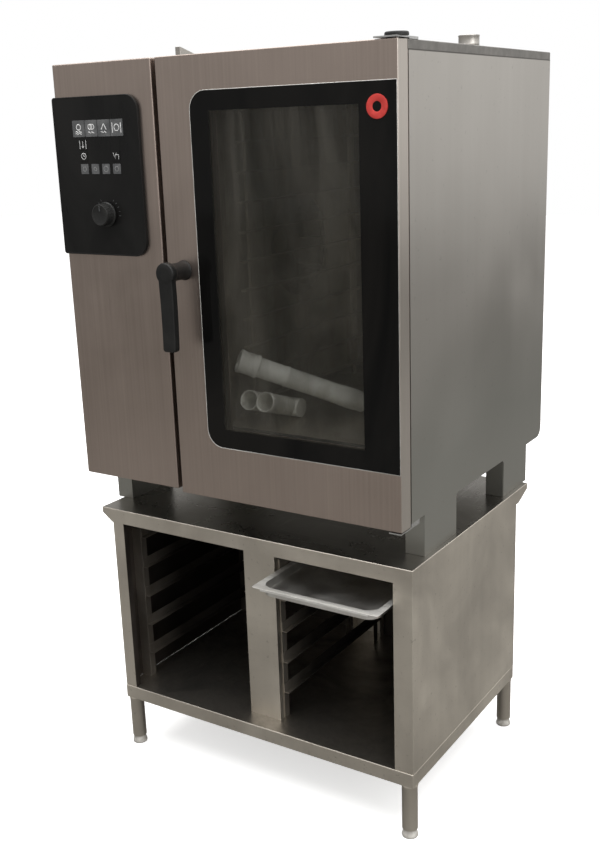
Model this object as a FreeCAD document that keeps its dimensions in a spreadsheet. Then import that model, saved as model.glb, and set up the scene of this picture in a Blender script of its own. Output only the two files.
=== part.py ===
"""A ten-level combi steamer oven on an open stand with tray runners.

Frame: +Z up, the front faces -Y, +X is to the right of someone facing the front.
Every formula below counts x from the oven's middle plane, y from the front face of
the door and z from the floor; place() then moves it all so that the origin lies on
the floor at the centre of the overall footprint.
"""

import FreeCAD, Part
import math
import os
import re
import Sketcher

Vector = FreeCAD.Vector

# ---------------------------------------------------------------- driving sizes (mm)
SIZES = {
    # oven casing
    "oven_width": 875, "oven_depth": 790, "body_height": 960, "clearance_under": 96,
    "casing_sheet": 2, "roof_rim": 18, "body_gap": 5, "fascia_width": 286.5, "front_gap": 12,
    # door: widths inward of its edges, heights inward of the casing's ends
    "door_thickness": 39, "door_drop": 7, "stile_width": 86, "bottom_rail": 118, "top_rail": 72,
    "glass_thickness": 5, "glass_edge": 2, "glass_clearance": 0.5, "glass_corner": 40,
    "border_left": 48, "border_right": 85.5, "border_bottom": 43, "border_top": 41, "window_lip": 8,
    "inner_glass_lap": 16, "door_inner_sheet": 2,
    "badge_size": 46, "badge_inset": 44.5, "badge_drop": 119, "badge_thickness": 2,
    # door hinges
    "hinge_inset": 12.5, "hinge_y": 16, "hinge_pin_radius": 6, "running_clearance": 0.06,
    "hinge_block_width": 18, "hinge_block_height": 34, "hinge_plate": 3, "hinge_gap": 2,
    "hinge_cap_radius": 23, "hinge_cap_height": 7, "hinge_cap_inset": 13, "hinge_cap_y": 21,
    "hinge_plate_width": 50, "hinge_plate_back": 40, "hinge_hole_clearance": 2,
    # door handle and latch
    "handle_inset": 46, "handle_height": 514, "hub_radius": 22, "lever_reach": 70,
    "lever_length": 171, "lever_top_width": 37, "lever_end_width": 34, "lever_thickness": 18,
    "lever_head_radius": 24, "lever_end_corner": 6,
    "spindle_radius": 8, "cam_radius": 24, "cam_thickness": 8, "cam_width": 18, "cam_gap": 3,
    "latch_hole": 30, "latch_depth": 22,
    # control panel, touch fields and dial
    "panel_overhang": 3, "panel_width": 251.5, "panel_height": 349, "panel_drop": 71,
    "panel_thickness": 8, "panel_corner": 34, "panel_left_corner": 7, "field_size": 36, "key_size": 22, "field_thickness": 0.4,
    "dial_inset": 145.5, "dial_rise": 93, "dial_radius": 27, "dial_height": 26, "dial_gap": 3, "stem_radius": 3.5, "stem_hole_clearance": 2, "encoder_size": 26, "board_offset": 14,
    "board_sheet": 1.6, "board_margin": 20,
    # cooking chamber
    "mouth_margin": 35, "mouth_depth": 44, "chamber_right": 52.5, "chamber_rise": 158, "chamber_drop": 62,
    "chamber_rear": 68, "fan_room": 118, "cavity_sheet": 2, "insulation": 24,
    "seal_width": 14, "seal_clearance": 0.4, "baffle_inset": 22, "baffle_margin": 26,
    "baffle_hole_radius": 125, "rack_spacing": 330, "rack_inset": 20, "rack_front": 115,
    "rack_length": 550, "rack_pitch": 65, "rack_bar": 12, "rack_rail": 5, "rack_start": 35,
    # fan, motor and heater
    "fan_radius": 165, "fan_width": 72, "fan_blades": 12, "fan_clearance": 12, "shaft_radius": 9,
    "motor_radius": 78, "motor_length": 165, "heater_radius": 200, "heater_rod": 6,
    "fan_blade_thickness": 3, "fan_blade_depth": 34, "fan_hub_radius": 30,
    # drain
    "drain_offset": 25, "drain_pot_radius": 45, "drain_pipe_radius": 25, "drain_rise": 58,
    "drain_reach": 26, "drain_wall": 2.5,
    # roof fittings
    "stub_inset": 25, "stub_y": 370, "stub_radius": 22, "stub_height": 22, "stub_wall": 1.5,
    "hood_inset": 11, "hood_y": 82, "hood_length": 75, "hood_width": 14, "hood_height": 24,
    # water and power connections
    "service_inset": 107.5, "service_rise": 98, "service_width": 190, "service_height": 90,
    "service_sheet": 3, "inlet_radius": 13.2, "inlet_bore": 9, "inlet_reach": 18, "inlet_spacing": 60,
    "gland_radius": 16, "gland_bore_radius": 9,
    # loose drain kit stored in the chamber
    "kit_radius": 23, "kit_wall": 2.5, "kit_collar": 4, "kit_collar_length": 46, "kit_length": 311,
    "socket_length": 117, "socket_y": 175,
    # oven legs
    "leg_front": 104, "leg_length": 161, "leg_width": 45, "rear_leg_inset": 249, "rear_leg_length": 149,
    "leg_sheet": 3, "side_corner": 26, "rear_lip": 60, "side_notch_corner": 12,
    # stand
    "stand_height": 658, "stand_inset_left": 15.5, "stand_spread_right": 12.5, "stand_front": 22,
    "stand_back": 673, "top_thickness": 36, "top_lip": 14, "bevel_back": 58, "overhang_left": 31, "overhang_back": 68,
    "stand_sheet": 2, "shelf_height": 169, "shelf_rim": 34, "left_flange": 34, "right_flange": 47,
    "flange_return": 18, "flange_setback": 2, "post_width": 88, "post_shift": 2, "post_front": 70,
    "post_inset_back": 30, "post_return": 24, "side_inset_right": 2, "gusset_size": 60, "back_sheet": 1.5,
    # tray runners and tray
    "runner_pitch": 81, "runner_drop": 95, "runner_leg": 14, "runner_sheet": 1.5, "runner_height": 22,
    "runner_front": 88, "runner_back_gap": 17, "strap_width": 20, "bay_clearance": 1.5,
    "tray_width": 325, "tray_length": 530, "tray_depth": 20, "tray_rim": 15, "tray_sheet": 1.2,
    "tray_front": -34, "tray_gap": 0.2, "tray_corner": 30, "tray_rim_corner": 7,
    # stand legs and feet
    "tube_radius": 18, "foot_height": 20, "foot_radius": 21, "foot_neck": 16, "foot_rim": 5,
}


def derive(size):
    """Places that follow from the driving sizes, each from the edge it belongs to."""
    half = size["oven_width"] / 2
    base = size["stand_height"] + size["clearance_under"]
    top = base + size["body_height"]
    place = {}
    place["fascia_right"] = -half + size["fascia_width"]
    place["door_left"] = place["fascia_right"] + size["front_gap"]
    place["glass_left"] = place["door_left"] + size["stile_width"]
    place["glass_bottom"] = base + size["bottom_rail"]
    place["glass_top"] = top - size["top_rail"]
    place["window_left"] = place["glass_left"] + size["border_left"]
    place["window_right"] = half - size["border_right"]
    place["window_bottom"] = place["glass_bottom"] + size["border_bottom"]
    place["window_top"] = place["glass_top"] - size["border_top"]
    place["badge_x"] = half - size["badge_inset"]
    place["badge_z"] = top - size["badge_drop"]
    place["hinge_x"] = half - size["hinge_inset"]
    place["handle_x"] = place["door_left"] + size["handle_inset"]
    place["handle_z"] = base + size["handle_height"]
    place["panel_left"] = -half - size["panel_overhang"]
    place["panel_right"] = place["panel_left"] + size["panel_width"]
    place["panel_top"] = top - size["panel_drop"]
    place["panel_bottom"] = place["panel_top"] - size["panel_height"]
    place["dial_x"] = place["panel_left"] + size["dial_inset"]
    place["dial_z"] = place["panel_bottom"] + size["dial_rise"]
    place["mouth_left"] = place["window_left"] - size["mouth_margin"]
    place["baffle_x"] = place["mouth_left"] - size["baffle_inset"]
    place["cavity_left"] = place["baffle_x"] - size["fan_room"]
    place["cavity_right"] = half - size["chamber_right"]
    place["cavity_bottom"] = base + size["chamber_rise"]
    place["cavity_top"] = top - size["chamber_drop"]
    place["cavity_back"] = size["oven_depth"] - size["chamber_rear"]
    place["rack_middle"] = place["mouth_left"] + size["rack_inset"] + size["rack_spacing"] / 2
    place["rack_first"] = place["cavity_bottom"] + size["rack_start"]
    rack_room = place["cavity_top"] - place["rack_first"] - size["rack_pitch"] / 2
    place["rack_levels"] = 1 + int(rack_room / size["rack_pitch"])
    place["fan_y"] = (size["rack_front"] + place["cavity_back"]) / 2
    place["fan_z"] = (place["cavity_bottom"] + place["cavity_top"]) / 2
    place["drain_x"] = place["rack_middle"] - size["drain_offset"]
    place["drain_y"] = place["fan_y"]
    place["drain_pipe_z"] = base + size["drain_rise"]
    place["stub_x"] = half - size["stub_inset"]
    place["hood_x"] = place["fascia_right"] + size["hood_inset"]
    place["service_x"] = -half + size["service_inset"]
    place["service_z"] = base + size["service_rise"]
    place["rear_leg_start"] = size["oven_depth"] - size["rear_leg_inset"]
    place["stand_left"] = -half + size["stand_inset_left"]
    place["stand_right"] = half + size["stand_spread_right"]
    bays_left = place["stand_left"] + size["overhang_left"] + size["left_flange"]
    bays_right = place["stand_right"] - size["side_inset_right"] - size["right_flange"]
    place["post_left"] = (bays_left + bays_right - size["post_width"]) / 2 - size["post_shift"]
    place["post_right"] = place["post_left"] + size["post_width"]
    place["post_back"] = size["stand_back"] - size["overhang_back"] - size["post_inset_back"]
    place["runner_top"] = size["stand_height"] - size["runner_drop"]
    place["runner_length"] = place["post_back"] - size["runner_front"] - size["runner_back_gap"]
    runner_room = place["runner_top"] - size["shelf_height"] - size["runner_pitch"] / 2
    place["runner_levels"] = 1 + int(runner_room / size["runner_pitch"])
    place["tray_x"] = (place["post_right"] + bays_right) / 2
    left = min(place["panel_left"], place["stand_left"])
    foot_out = size["foot_radius"] - size["tube_radius"]
    right = max(half, place["stand_right"], place["stand_right"] - size["side_inset_right"] + foot_out)
    back = max(size["oven_depth"] + size["drain_reach"], size["stand_back"])
    place["middle_x"] = -(left + right) / 2
    place["front_y"] = -(back - size["lever_reach"]) / 2
    return place


SIZES.update(derive(SIZES))
doc = FreeCAD.newDocument("combi_steamer")
sheet = doc.addObject("Spreadsheet::Sheet", "dims")
parts = []


def fill_sheet():
    """Put every size in the sheet under its own alias."""
    for row, (alias, value) in enumerate(SIZES.items(), start=1):
        sheet.set("A%d" % row, alias)
        sheet.set("B%d" % row, repr(value))
        sheet.setAlias("B%d" % row, alias)
    doc.recompute()


def formula(text):
    """Point the size names in a formula at the sheet."""
    def point(match):
        word = match.group()
        return "dims." + word if word in SIZES else word
    return re.sub(r"[a-z_]+[a-z_0-9]*", point, str(text))


def number(text):
    """The value of a formula, for Part functions and for a sketch's first guess."""
    return float(doc.getObject("dims").evalExpression(formula(text).replace("dims.", "")))


def bind(obj, name, text):
    obj.setExpression(name, formula(text))


def place(obj, x, y, z):
    """Put an object's own origin at a point of the oven's frame."""
    bind(obj, "Placement.Base.x", "middle_x + (%s)" % x)
    bind(obj, "Placement.Base.y", "front_y + (%s)" % y)
    bind(obj, "Placement.Base.z", z)


def part(label, obj):
    """Name a finished sub-part."""
    obj.Label = label
    parts.append(obj)
    return obj


# ---------------------------------------------------------------- Part primitives
def box(low, high):
    """A block between two corners, each given as three formulas."""
    obj = doc.addObject("Part::Box", "block")
    for side, start, end in zip(("Length", "Width", "Height"), low, high):
        bind(obj, side, "(%s) - (%s)" % (end, start))
    place(obj, *low)
    return obj


TURNS = {
    "z": FreeCAD.Rotation(),
    "x": FreeCAD.Rotation(Vector(0, 1, 0), 90),
    "y": FreeCAD.Rotation(Vector(1, 0, 0), -90),
}


def rod(radius, length, at, axis="z"):
    """A round bar that starts at a point and runs along +x, +y or +z."""
    obj = doc.addObject("Part::Cylinder", "rod")
    bind(obj, "Radius", radius)
    bind(obj, "Height", length)
    obj.Placement = FreeCAD.Placement(Vector(), TURNS[axis])
    place(obj, *at)
    return obj


def cut(base, tools):
    """The base less every tool."""
    for tool in tools:
        result = doc.addObject("Part::Cut", "cut")
        result.Base = base
        result.Tool = tool
        base = result
    return base


def join(pieces):
    """Several solids as one object."""
    result = doc.addObject("Part::MultiFuse", "join")
    result.Shapes = pieces
    return result


def tube(outer, wall, length, at, axis="z"):
    """A round tube open at both ends."""
    body = rod(outer, length, at, axis)
    return cut(body, [rod("(%s) - (%s)" % (outer, wall), length, at, axis)])


# ---------------------------------------------------------------- PartDesign helpers
def new_body(name, x, y, z):
    body = doc.addObject("PartDesign::Body", name)
    place(body, x, y, z)
    return body


def outline(body, plane, corners):
    """A closed outline of straight runs with every corner tied to the sheet."""
    sketch = body.newObject("Sketcher::SketchObject", body.Name + "_outline")
    origin = {item.Role: item for item in body.Origin.OriginFeatures}
    sketch.AttachmentSupport = [(origin[plane], "")]
    sketch.MapMode = "FlatFace"
    spots = [Vector(number(across), number(up), 0) for across, up in corners]
    count = len(spots)
    for index, spot in enumerate(spots):
        sketch.addGeometry(Part.LineSegment(spot, spots[(index + 1) % count]))
    for index in range(count):
        sketch.addConstraint(Sketcher.Constraint("Coincident", index, 2, (index + 1) % count, 1))
    for index, (across, up) in enumerate(corners):
        for kind, text in (("DistanceX", across), ("DistanceY", up)):
            tie = Sketcher.Constraint(kind, -1, 1, index, 1, number(text))
            bind(sketch, "Constraints[%d]" % sketch.addConstraint(tie), text)
    return sketch


def circle(body, plane, across, up, radius):
    """A round sketch whose centre and radius are tied to the sheet."""
    sketch = body.newObject("Sketcher::SketchObject", body.Name + "_circle")
    origin = {item.Role: item for item in body.Origin.OriginFeatures}
    sketch.AttachmentSupport = [(origin[plane], "")]
    sketch.MapMode = "FlatFace"
    centre = Vector(number(across), number(up), 0)
    sketch.addGeometry(Part.Circle(centre, Vector(0, 0, 1), number(radius)))
    ties = [
        (Sketcher.Constraint("DistanceX", -1, 1, 0, 3, centre.x), across),
        (Sketcher.Constraint("DistanceY", -1, 1, 0, 3, centre.y), up),
        (Sketcher.Constraint("Radius", 0, number(radius)), radius),
    ]
    for tie, text in ties:
        bind(sketch, "Constraints[%d]" % sketch.addConstraint(tie), text)
    return sketch


def feature(kind, body, sketch, length, backwards):
    """A Pad or Pocket of a sketch; a Pocket must take something away."""
    before = body.Shape.Volume if kind == "PartDesign::Pocket" else 0
    item = body.newObject(kind, body.Name + "_step")
    item.Profile = sketch
    item.Reversed = backwards
    bind(item, "Length", length)
    doc.recompute()
    if kind == "PartDesign::Pocket" and body.Shape.Volume > before - 1e-3:
        raise ValueError("a pocket in %s cuts nothing" % body.Name)
    return item


def round_edges(body, radius, test):
    """A fillet on each edge of the body's last feature whose middle passes a test."""
    base = body.Tip
    names = []
    for index, edge in enumerate(base.Shape.Edges, start=1):
        middle = edge.valueAt((edge.FirstParameter + edge.LastParameter) / 2)
        along = edge.tangentAt(edge.FirstParameter)
        if test(middle, along):
            names.append("Edge%d" % index)
    if not names:
        raise ValueError("no edge to round in %s" % body.Name)
    item = body.newObject("PartDesign::Fillet", body.Name + "_round")
    item.Base = (base, names)
    bind(item, "Radius", radius)
    doc.recompute()
    return item


def near(value, text, slack=0.01):
    return abs(value - number(text)) < slack


def plate(name, plane, at, corners, length, backwards=False):
    """A body padded from one straight-sided outline."""
    body = new_body(name, *at)
    feature("PartDesign::Pad", body, outline(body, plane, corners), length, backwards)
    return body


def rectangle(low_across, low_up, high_across, high_up):
    return [(low_across, low_up), (high_across, low_up), (high_across, high_up), (low_across, high_up)]


# ---------------------------------------------------------------- shared heights and edges
BOTTOM = "(stand_height + clearance_under)"
TOP = "(stand_height + clearance_under + body_height)"
LID = "(stand_height + clearance_under + body_height - roof_rim)"
HALF = "(oven_width / 2)"
BODY_FRONT = "(door_thickness + body_gap)"
SIDE_LEFT = "(stand_left + overhang_left)"
SIDE_RIGHT = "(stand_right - side_inset_right)"
SIDE_BACK = "(stand_back - overhang_back)"


# ---------------------------------------------------------------- stand
def stand_top():
    """The worktop: a folded sheet, bevelled under its left and rear overhangs."""
    body = plate("stand_top_body", "XZ_Plane", ("0", "stand_front", "stand_height"), [
        ("stand_left", "0"),
        ("stand_left", "-top_lip"),
        ("stand_left + overhang_left", "-top_thickness"),
        ("stand_right", "-top_thickness"),
        ("stand_right", "0"),
    ], "stand_back - stand_front", True)
    bevel = outline(body, "YZ_Plane", [
        ("stand_back - stand_front - bevel_back", "-top_thickness"),
        ("stand_back - stand_front + 1", "-top_thickness"),
        ("stand_back - stand_front + 1", "-top_lip"),
        ("stand_back - stand_front", "-top_lip"),
    ])
    cut_bevel = feature("PartDesign::Pocket", body, bevel, "(stand_right - stand_left) * 2", False)
    cut_bevel.Midplane = True
    doc.recompute()
    hollow = box(
        (SIDE_LEFT, "stand_front + stand_sheet", "stand_height - top_thickness - 1"),
        ("stand_right - stand_sheet", SIDE_BACK, "stand_height - stand_sheet"),
    )
    part("stand_top", cut(body, [hollow]))


def stand_side(label, outer, inward, flange):
    """A side sheet with a front and a rear flange and their short returns."""
    low = "shelf_height"
    high = "stand_height - top_thickness"
    front = "stand_front + flange_setback"

    def slab(start, end, front_y, back_y):
        """A block from one distance to another inward of the outer face."""
        near_x = "%s + (%s) * (%s)" % (outer, inward, start)
        far_x = "%s + (%s) * (%s)" % (outer, inward, end)
        pair = (near_x, far_x) if inward == "1" else (far_x, near_x)
        return box((pair[0], front_y, low), (pair[1], back_y, high))

    pieces = [slab("0", "stand_sheet", front, SIDE_BACK)]
    pieces.append(slab("0", flange, front, front + " + stand_sheet"))
    pieces.append(slab("0", flange, SIDE_BACK + " - stand_sheet", SIDE_BACK))
    pieces.append(slab(flange + " - stand_sheet", flange, front, front + " + flange_return"))
    part(label, join(pieces))


def stand_shelf():
    """The bottom shelf: one sheet with a rim turned down all round."""
    low = (SIDE_LEFT, "stand_front", "shelf_height - shelf_rim")
    high = (SIDE_RIGHT, SIDE_BACK, "shelf_height")
    outer = box(low, high)
    hollow = box(
        (SIDE_LEFT + " + stand_sheet", "stand_front + stand_sheet", "shelf_height - shelf_rim - 1"),
        (SIDE_RIGHT + " - stand_sheet", SIDE_BACK + " - stand_sheet", "shelf_height - stand_sheet"),
    )
    gussets = []
    rim_low = "shelf_height - shelf_rim"
    for low_x in (SIDE_LEFT + " + stand_sheet", SIDE_RIGHT + " - stand_sheet - gusset_size"):
        for low_y in ("stand_front + stand_sheet", SIDE_BACK + " - stand_sheet - gusset_size"):
            gussets.append(box((low_x, low_y, rim_low),
                               (low_x + " + gusset_size", low_y + " + gusset_size", rim_low + " + leg_sheet")))
    part("stand_shelf", join([cut(outer, [hollow])] + gussets))


def stand_post(label, start, face, back):
    """A channel upright between the two bays; face is where its web starts."""
    low = "shelf_height"
    high = "stand_height - stand_sheet"
    pieces = [
        box(("post_left", face, low), ("post_right", face + " + stand_sheet", high)),
        box(("post_left", start, low), ("post_left + stand_sheet", back, high)),
        box(("post_right - stand_sheet", start, low), ("post_right", back, high)),
    ]
    part(label, join(pieces))


def stand_back():
    """The sheet that closes the stand's rear, inside the rear flanges."""
    back = SIDE_BACK + " - stand_sheet"
    part("stand_back_sheet", box(
        (SIDE_LEFT + " + stand_sheet + bay_clearance", back + " - back_sheet", "shelf_height"),
        (SIDE_RIGHT + " - stand_sheet - bay_clearance", back, "stand_height - top_thickness + top_lip"),
    ))


def runner_set(label, wall, inward, gap):
    """Angle runners on two straps that stand against a wall of the bay."""
    low = "shelf_height"

    def across(start, end):
        near_x = "%s + (%s) * (%s)" % (wall, inward, start)
        far_x = "%s + (%s) * (%s)" % (wall, inward, end)
        return (near_x, far_x) if inward == "1" else (far_x, near_x)

    pieces = []
    strap = across("0", gap)
    for start in ("runner_front", "runner_front + runner_length - strap_width"):
        pieces.append(box(
            (strap[0], start, low),
            (strap[1], start + " + strap_width", "runner_top + runner_height"),
        ))
    upright = across(gap, "%s + runner_sheet" % gap)
    ledge = across(gap, "%s + runner_leg" % gap)
    for level in range(int(SIZES["runner_levels"])):
        top = "runner_top - %d * runner_pitch" % level
        back = "runner_front + runner_length"
        pieces.append(box((upright[0], "runner_front", top), (upright[1], back, top + " + runner_height")))
        pieces.append(box((ledge[0], "runner_front", top + " - runner_sheet"), (ledge[1], back, top)))
    part(label, join(pieces))


def tray():
    """A shallow food tray with a flat rim, a rounded well and one sheet's thickness."""
    half = "tray_width / 2"
    body = plate("tray_body", "XY_Plane",
                 ("tray_x", "tray_front", "runner_top + tray_gap"),
                 rectangle("-" + half, "0", half, "tray_length"), "tray_sheet")
    inset = "tray_rim"
    well = outline(body, "XY_Plane", rectangle(
        "-(%s) + %s" % (half, inset), inset, "%s - %s" % (half, inset), "tray_length - " + inset))
    feature("PartDesign::Pad", body, well, "tray_depth", True)
    round_edges(body, "tray_corner", lambda at, along: abs(along.z) > 0.9 and at.z < number("-tray_depth / 4"))
    round_edges(body, "tray_rim_corner", lambda at, along: abs(along.z) > 0.9 and at.z > 0)
    hollow = plate("tray_hollow", "XY_Plane",
                   ("tray_x", "tray_front", "runner_top + tray_gap + tray_sheet"), rectangle(
                       "-(%s) + %s + tray_sheet" % (half, inset), inset + " + tray_sheet",
                       "%s - %s - tray_sheet" % (half, inset), "tray_length - %s - tray_sheet" % inset),
                   "tray_depth", True)
    round_edges(hollow, "tray_corner - tray_sheet", lambda at, along: abs(along.z) > 0.9)
    part("tray", cut(body, [hollow]))


def stand_legs():
    """Four round legs, each with its own foot."""
    corners = {
        "front_left": (SIDE_LEFT + " + tube_radius", "stand_front + tube_radius"),
        "front_right": (SIDE_RIGHT + " - tube_radius", "stand_front + tube_radius"),
        "rear_left": (SIDE_LEFT + " + tube_radius", SIDE_BACK + " - tube_radius"),
        "rear_right": (SIDE_RIGHT + " - tube_radius", SIDE_BACK + " - tube_radius"),
    }
    for corner, (x, y) in corners.items():
        length = "shelf_height - shelf_rim - foot_height"
        part("stand_leg_" + corner, rod("tube_radius", length, (x, y, "foot_height")))
        foot = new_body("foot_" + corner, x, y, "0")
        profile = outline(foot, "XZ_Plane", [
            ("0", "0"), ("foot_radius", "0"), ("foot_radius", "foot_rim"),
            ("foot_neck", "foot_height"), ("0", "foot_height"),
        ])
        turn = foot.newObject("PartDesign::Revolution", "foot_turn")
        turn.Profile = profile
        turn.ReferenceAxis = (profile, ["V_Axis"])
        turn.Angle = 360
        doc.recompute()
        part("stand_foot_" + corner, foot)


# ---------------------------------------------------------------- oven casing
def chassis():
    """The base plate with four welded box legs; the drain passes through its hole."""
    pieces = [box(("-%s + casing_sheet" % HALF, BODY_FRONT, BOTTOM),
                  (HALF + " - casing_sheet", "oven_depth - rear_lip", BOTTOM + " + leg_sheet"))]
    for start, length in (("leg_front", "leg_length"), ("rear_leg_start", "rear_leg_length")):
        for low_x in ("-%s + casing_sheet" % HALF, "%s - casing_sheet - leg_width" % HALF):
            end = "%s + %s" % (start, length)
            outer = box((low_x, start, "stand_height"), (low_x + " + leg_width", end, BOTTOM))
            hollow = box(
                (low_x + " + leg_sheet", start + " + leg_sheet", "stand_height + leg_sheet"),
                (low_x + " + leg_width - leg_sheet", end + " - leg_sheet", BOTTOM),
            )
            pieces.append(cut(outer, [hollow]))
    part("chassis", join(pieces))


def side_panel(label, outer_x, backwards):
    """A side sheet that runs down over the legs, with a rounded rear lower corner."""
    rear_end = "rear_leg_start + rear_leg_length"
    body = plate(label + "_body", "YZ_Plane", (outer_x, "0", "0"), [
        (BODY_FRONT, BOTTOM), ("leg_front", BOTTOM), ("leg_front", "stand_height"),
        ("leg_front + leg_length", "stand_height"), ("leg_front + leg_length", BOTTOM),
        ("rear_leg_start", BOTTOM), ("rear_leg_start", "stand_height"),
        (rear_end, "stand_height"), (rear_end, BOTTOM), ("oven_depth", BOTTOM),
        ("oven_depth", LID), (BODY_FRONT, LID),
    ], "casing_sheet", backwards)
    round_edges(body, "side_corner", lambda at, along: abs(along.x) > 0.9
                and near(at.y, "oven_depth") and near(at.z, BOTTOM))
    round_edges(body, "side_notch_corner", lambda at, along: abs(along.x) > 0.9 and near(at.z, BOTTOM)
                and (near(at.y, "leg_front + leg_length") or near(at.y, "rear_leg_start")))
    part(label, body)


def roof():
    """The lid: a top sheet with a rim folded down all round, and a hole for the vent stub."""
    outer = box(("-" + HALF, BODY_FRONT, LID), (HALF, "oven_depth", TOP))
    hollow = box(("-%s + casing_sheet" % HALF, BODY_FRONT + " + casing_sheet", LID + " - 1"),
                 (HALF + " - casing_sheet", "oven_depth - casing_sheet", TOP + " - casing_sheet"))
    hole = rod("stub_radius - stub_wall", "10", ("stub_x", "stub_y", TOP + " - 5"))
    part("roof", cut(outer, [hollow, hole]))


def rear_panel():
    """The rear sheet, bent forward under the casing, with a hole for the drain outlet."""
    inside = "oven_depth - casing_sheet"
    body = plate("rear_panel_body", "YZ_Plane", ("-%s + casing_sheet" % HALF, "0", "0"), [
        ("oven_depth", LID), ("oven_depth", BOTTOM), ("oven_depth - rear_lip", BOTTOM),
        ("oven_depth - rear_lip", BOTTOM + " + casing_sheet"),
        (inside, BOTTOM + " + casing_sheet"), (inside, LID),
    ], "oven_width - 2 * casing_sheet")
    round_edges(body, "side_corner", lambda at, along: abs(along.x) > 0.9
                and near(at.y, "oven_depth") and near(at.z, BOTTOM))
    round_edges(body, "side_corner - casing_sheet", lambda at, along: abs(along.x) > 0.9
                and near(at.y, inside) and near(at.z, BOTTOM + " + casing_sheet"))
    hole = rod("drain_pipe_radius", "10", ("drain_x", "oven_depth - 5", "drain_pipe_z"), "y")
    part("rear_panel", cut(body, [hole]))


def fascia():
    """The fixed front panel left of the door, a folded tray with a hole for the dial's stem."""
    outer = box(("-" + HALF, "0", BOTTOM), ("fascia_right", BODY_FRONT, TOP))
    hollow = box(("-%s + casing_sheet" % HALF, "casing_sheet", BOTTOM + " + casing_sheet"),
                 ("fascia_right - casing_sheet", BODY_FRONT + " + 1", TOP + " - casing_sheet"))
    hole = rod("stem_radius + stem_hole_clearance", "20", ("dial_x", "-10", "dial_z"), "y")
    part("fascia", cut(outer, [hollow, hole]))


def vent_stub():
    """A short open steam vent welded on the roof round its hole."""
    part("vent_stub", tube("stub_radius", "stub_wall", "stub_height", ("stub_x", "stub_y", TOP)))


def vent_hood():
    """A small sheet hood with a sloping top over the cooling air outlet."""
    body = plate("vent_hood_body", "YZ_Plane", ("hood_x - hood_width / 2", "hood_y", TOP), [
        ("0", "0"), ("hood_length", "0"), ("hood_length", "hood_height / 6"), ("0", "hood_height"),
    ], "hood_width", False)
    part("vent_hood", body)


def service_plate():
    """The rear plate that carries two threaded water inlets and the cable gland."""
    low_z = "service_z - service_height / 2"
    plate_body = box(("service_x - service_width / 2", "oven_depth", low_z),
                     ("service_x + service_width / 2", "oven_depth + service_sheet",
                      low_z + " + service_height"))
    pieces = [plate_body]
    cuts = []
    for step in (-1, 0):
        at = ("service_x + %d * inlet_spacing" % step, "oven_depth", "service_z")
        pieces.append(rod("inlet_radius", "inlet_reach + service_sheet", at, "y"))
        cuts.append(rod("inlet_bore", "inlet_reach + service_sheet + 1", at, "y"))
    gland = ("service_x + inlet_spacing", "oven_depth", "service_z")
    pieces.append(rod("gland_radius", "inlet_reach + service_sheet", gland, "y"))
    cuts.append(rod("gland_bore_radius", "inlet_reach + service_sheet + 1", gland, "y"))
    part("service_plate", cut(join(pieces), cuts))


# ---------------------------------------------------------------- control panel and dial
def control_panel():
    """The raised black operating panel with rounded corners and a hole for the stem."""
    body = plate("control_panel_body", "XZ_Plane", ("0", "0", "0"),
                 rectangle("panel_left", "panel_bottom", "panel_right", "panel_top"), "panel_thickness")
    hole = circle(body, "XZ_Plane", "dial_x", "dial_z", "stem_radius + stem_hole_clearance")
    feature("PartDesign::Pocket", body, hole, "panel_thickness + 1", True)
    round_edges(body, "panel_corner", lambda at, along: abs(along.y) > 0.9 and near(at.x, "panel_right"))
    round_edges(body, "panel_left_corner", lambda at, along: abs(along.y) > 0.9 and near(at.x, "panel_left"))
    part("control_panel", body)


def control_keys():
    """The lit touch fields behind the panel's foil, each a thin square of its own."""
    pieces = []

    def field(x, z, size):
        pieces.append(box(("%s - %s / 2" % (x, size), "-panel_thickness - field_thickness",
                           "%s - %s / 2" % (z, size)),
                          ("%s + %s / 2" % (x, size), "-panel_thickness", "%s + %s / 2" % (z, size))))

    for column in range(4):
        field("panel_left + 77 + %d * (field_size + 1.5)" % column, "panel_top - 69", "field_size")
    for column in range(4):
        field("panel_left + 86 + %d * (key_size + 10)" % column, "panel_top - 157", "key_size")
    for z in ("panel_top - 104", "panel_top - 129"):
        field("panel_left + 86", z, "key_size")
    field("panel_left + 86 + 3 * (key_size + 10)", "panel_top - 129", "key_size")
    part("control_keys", join(pieces))


def control_board():
    """The circuit board behind the fascia, with the dial's encoder housing on it."""
    board_back = "board_offset + board_sheet"
    board = box(("panel_left + board_margin", "board_offset", "panel_bottom + board_margin"),
                ("panel_right - board_margin", board_back, "panel_top - board_margin"))
    housing = box(("dial_x - encoder_size / 2", board_back, "dial_z - encoder_size / 2"),
                  ("dial_x + encoder_size / 2", board_back + " + encoder_size / 2",
                   "dial_z + encoder_size / 2"))
    hole = rod("stem_radius + running_clearance", "encoder_size * 2",
               ("dial_x", "board_offset - 1", "dial_z"), "y")
    part("control_board", cut(join([board, housing]), [hole]))


def dial():
    """The knob, which turns on a stem that slides in the encoder."""
    back = "-panel_thickness - dial_gap"
    knob = new_body("dial_body", "dial_x", back, "dial_z")
    profile = outline(knob, "XY_Plane", [
        ("stem_radius + running_clearance", "0"),
        ("dial_radius", "0"),
        ("dial_radius - 1", "-dial_height * 0.7"),
        ("dial_radius - 3", "-dial_height"),
        ("0", "-dial_height"),
        ("0", "-dial_height * 0.8"),
        ("stem_radius + running_clearance", "-dial_height * 0.8"),
    ])
    turn = knob.newObject("PartDesign::Revolution", "dial_turn")
    turn.Profile = profile
    turn.ReferenceAxis = (profile, ["V_Axis"])
    turn.Angle = 360
    doc.recompute()
    part("dial", knob)
    inner = "dial_height * 0.8 - 0.1"
    length = "panel_thickness + dial_gap + board_offset + board_sheet + 8"
    part("dial_stem", rod("stem_radius", "%s + %s" % (inner, length),
                          ("dial_x", "%s - (%s)" % (back, inner), "dial_z"), "y"))


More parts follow.
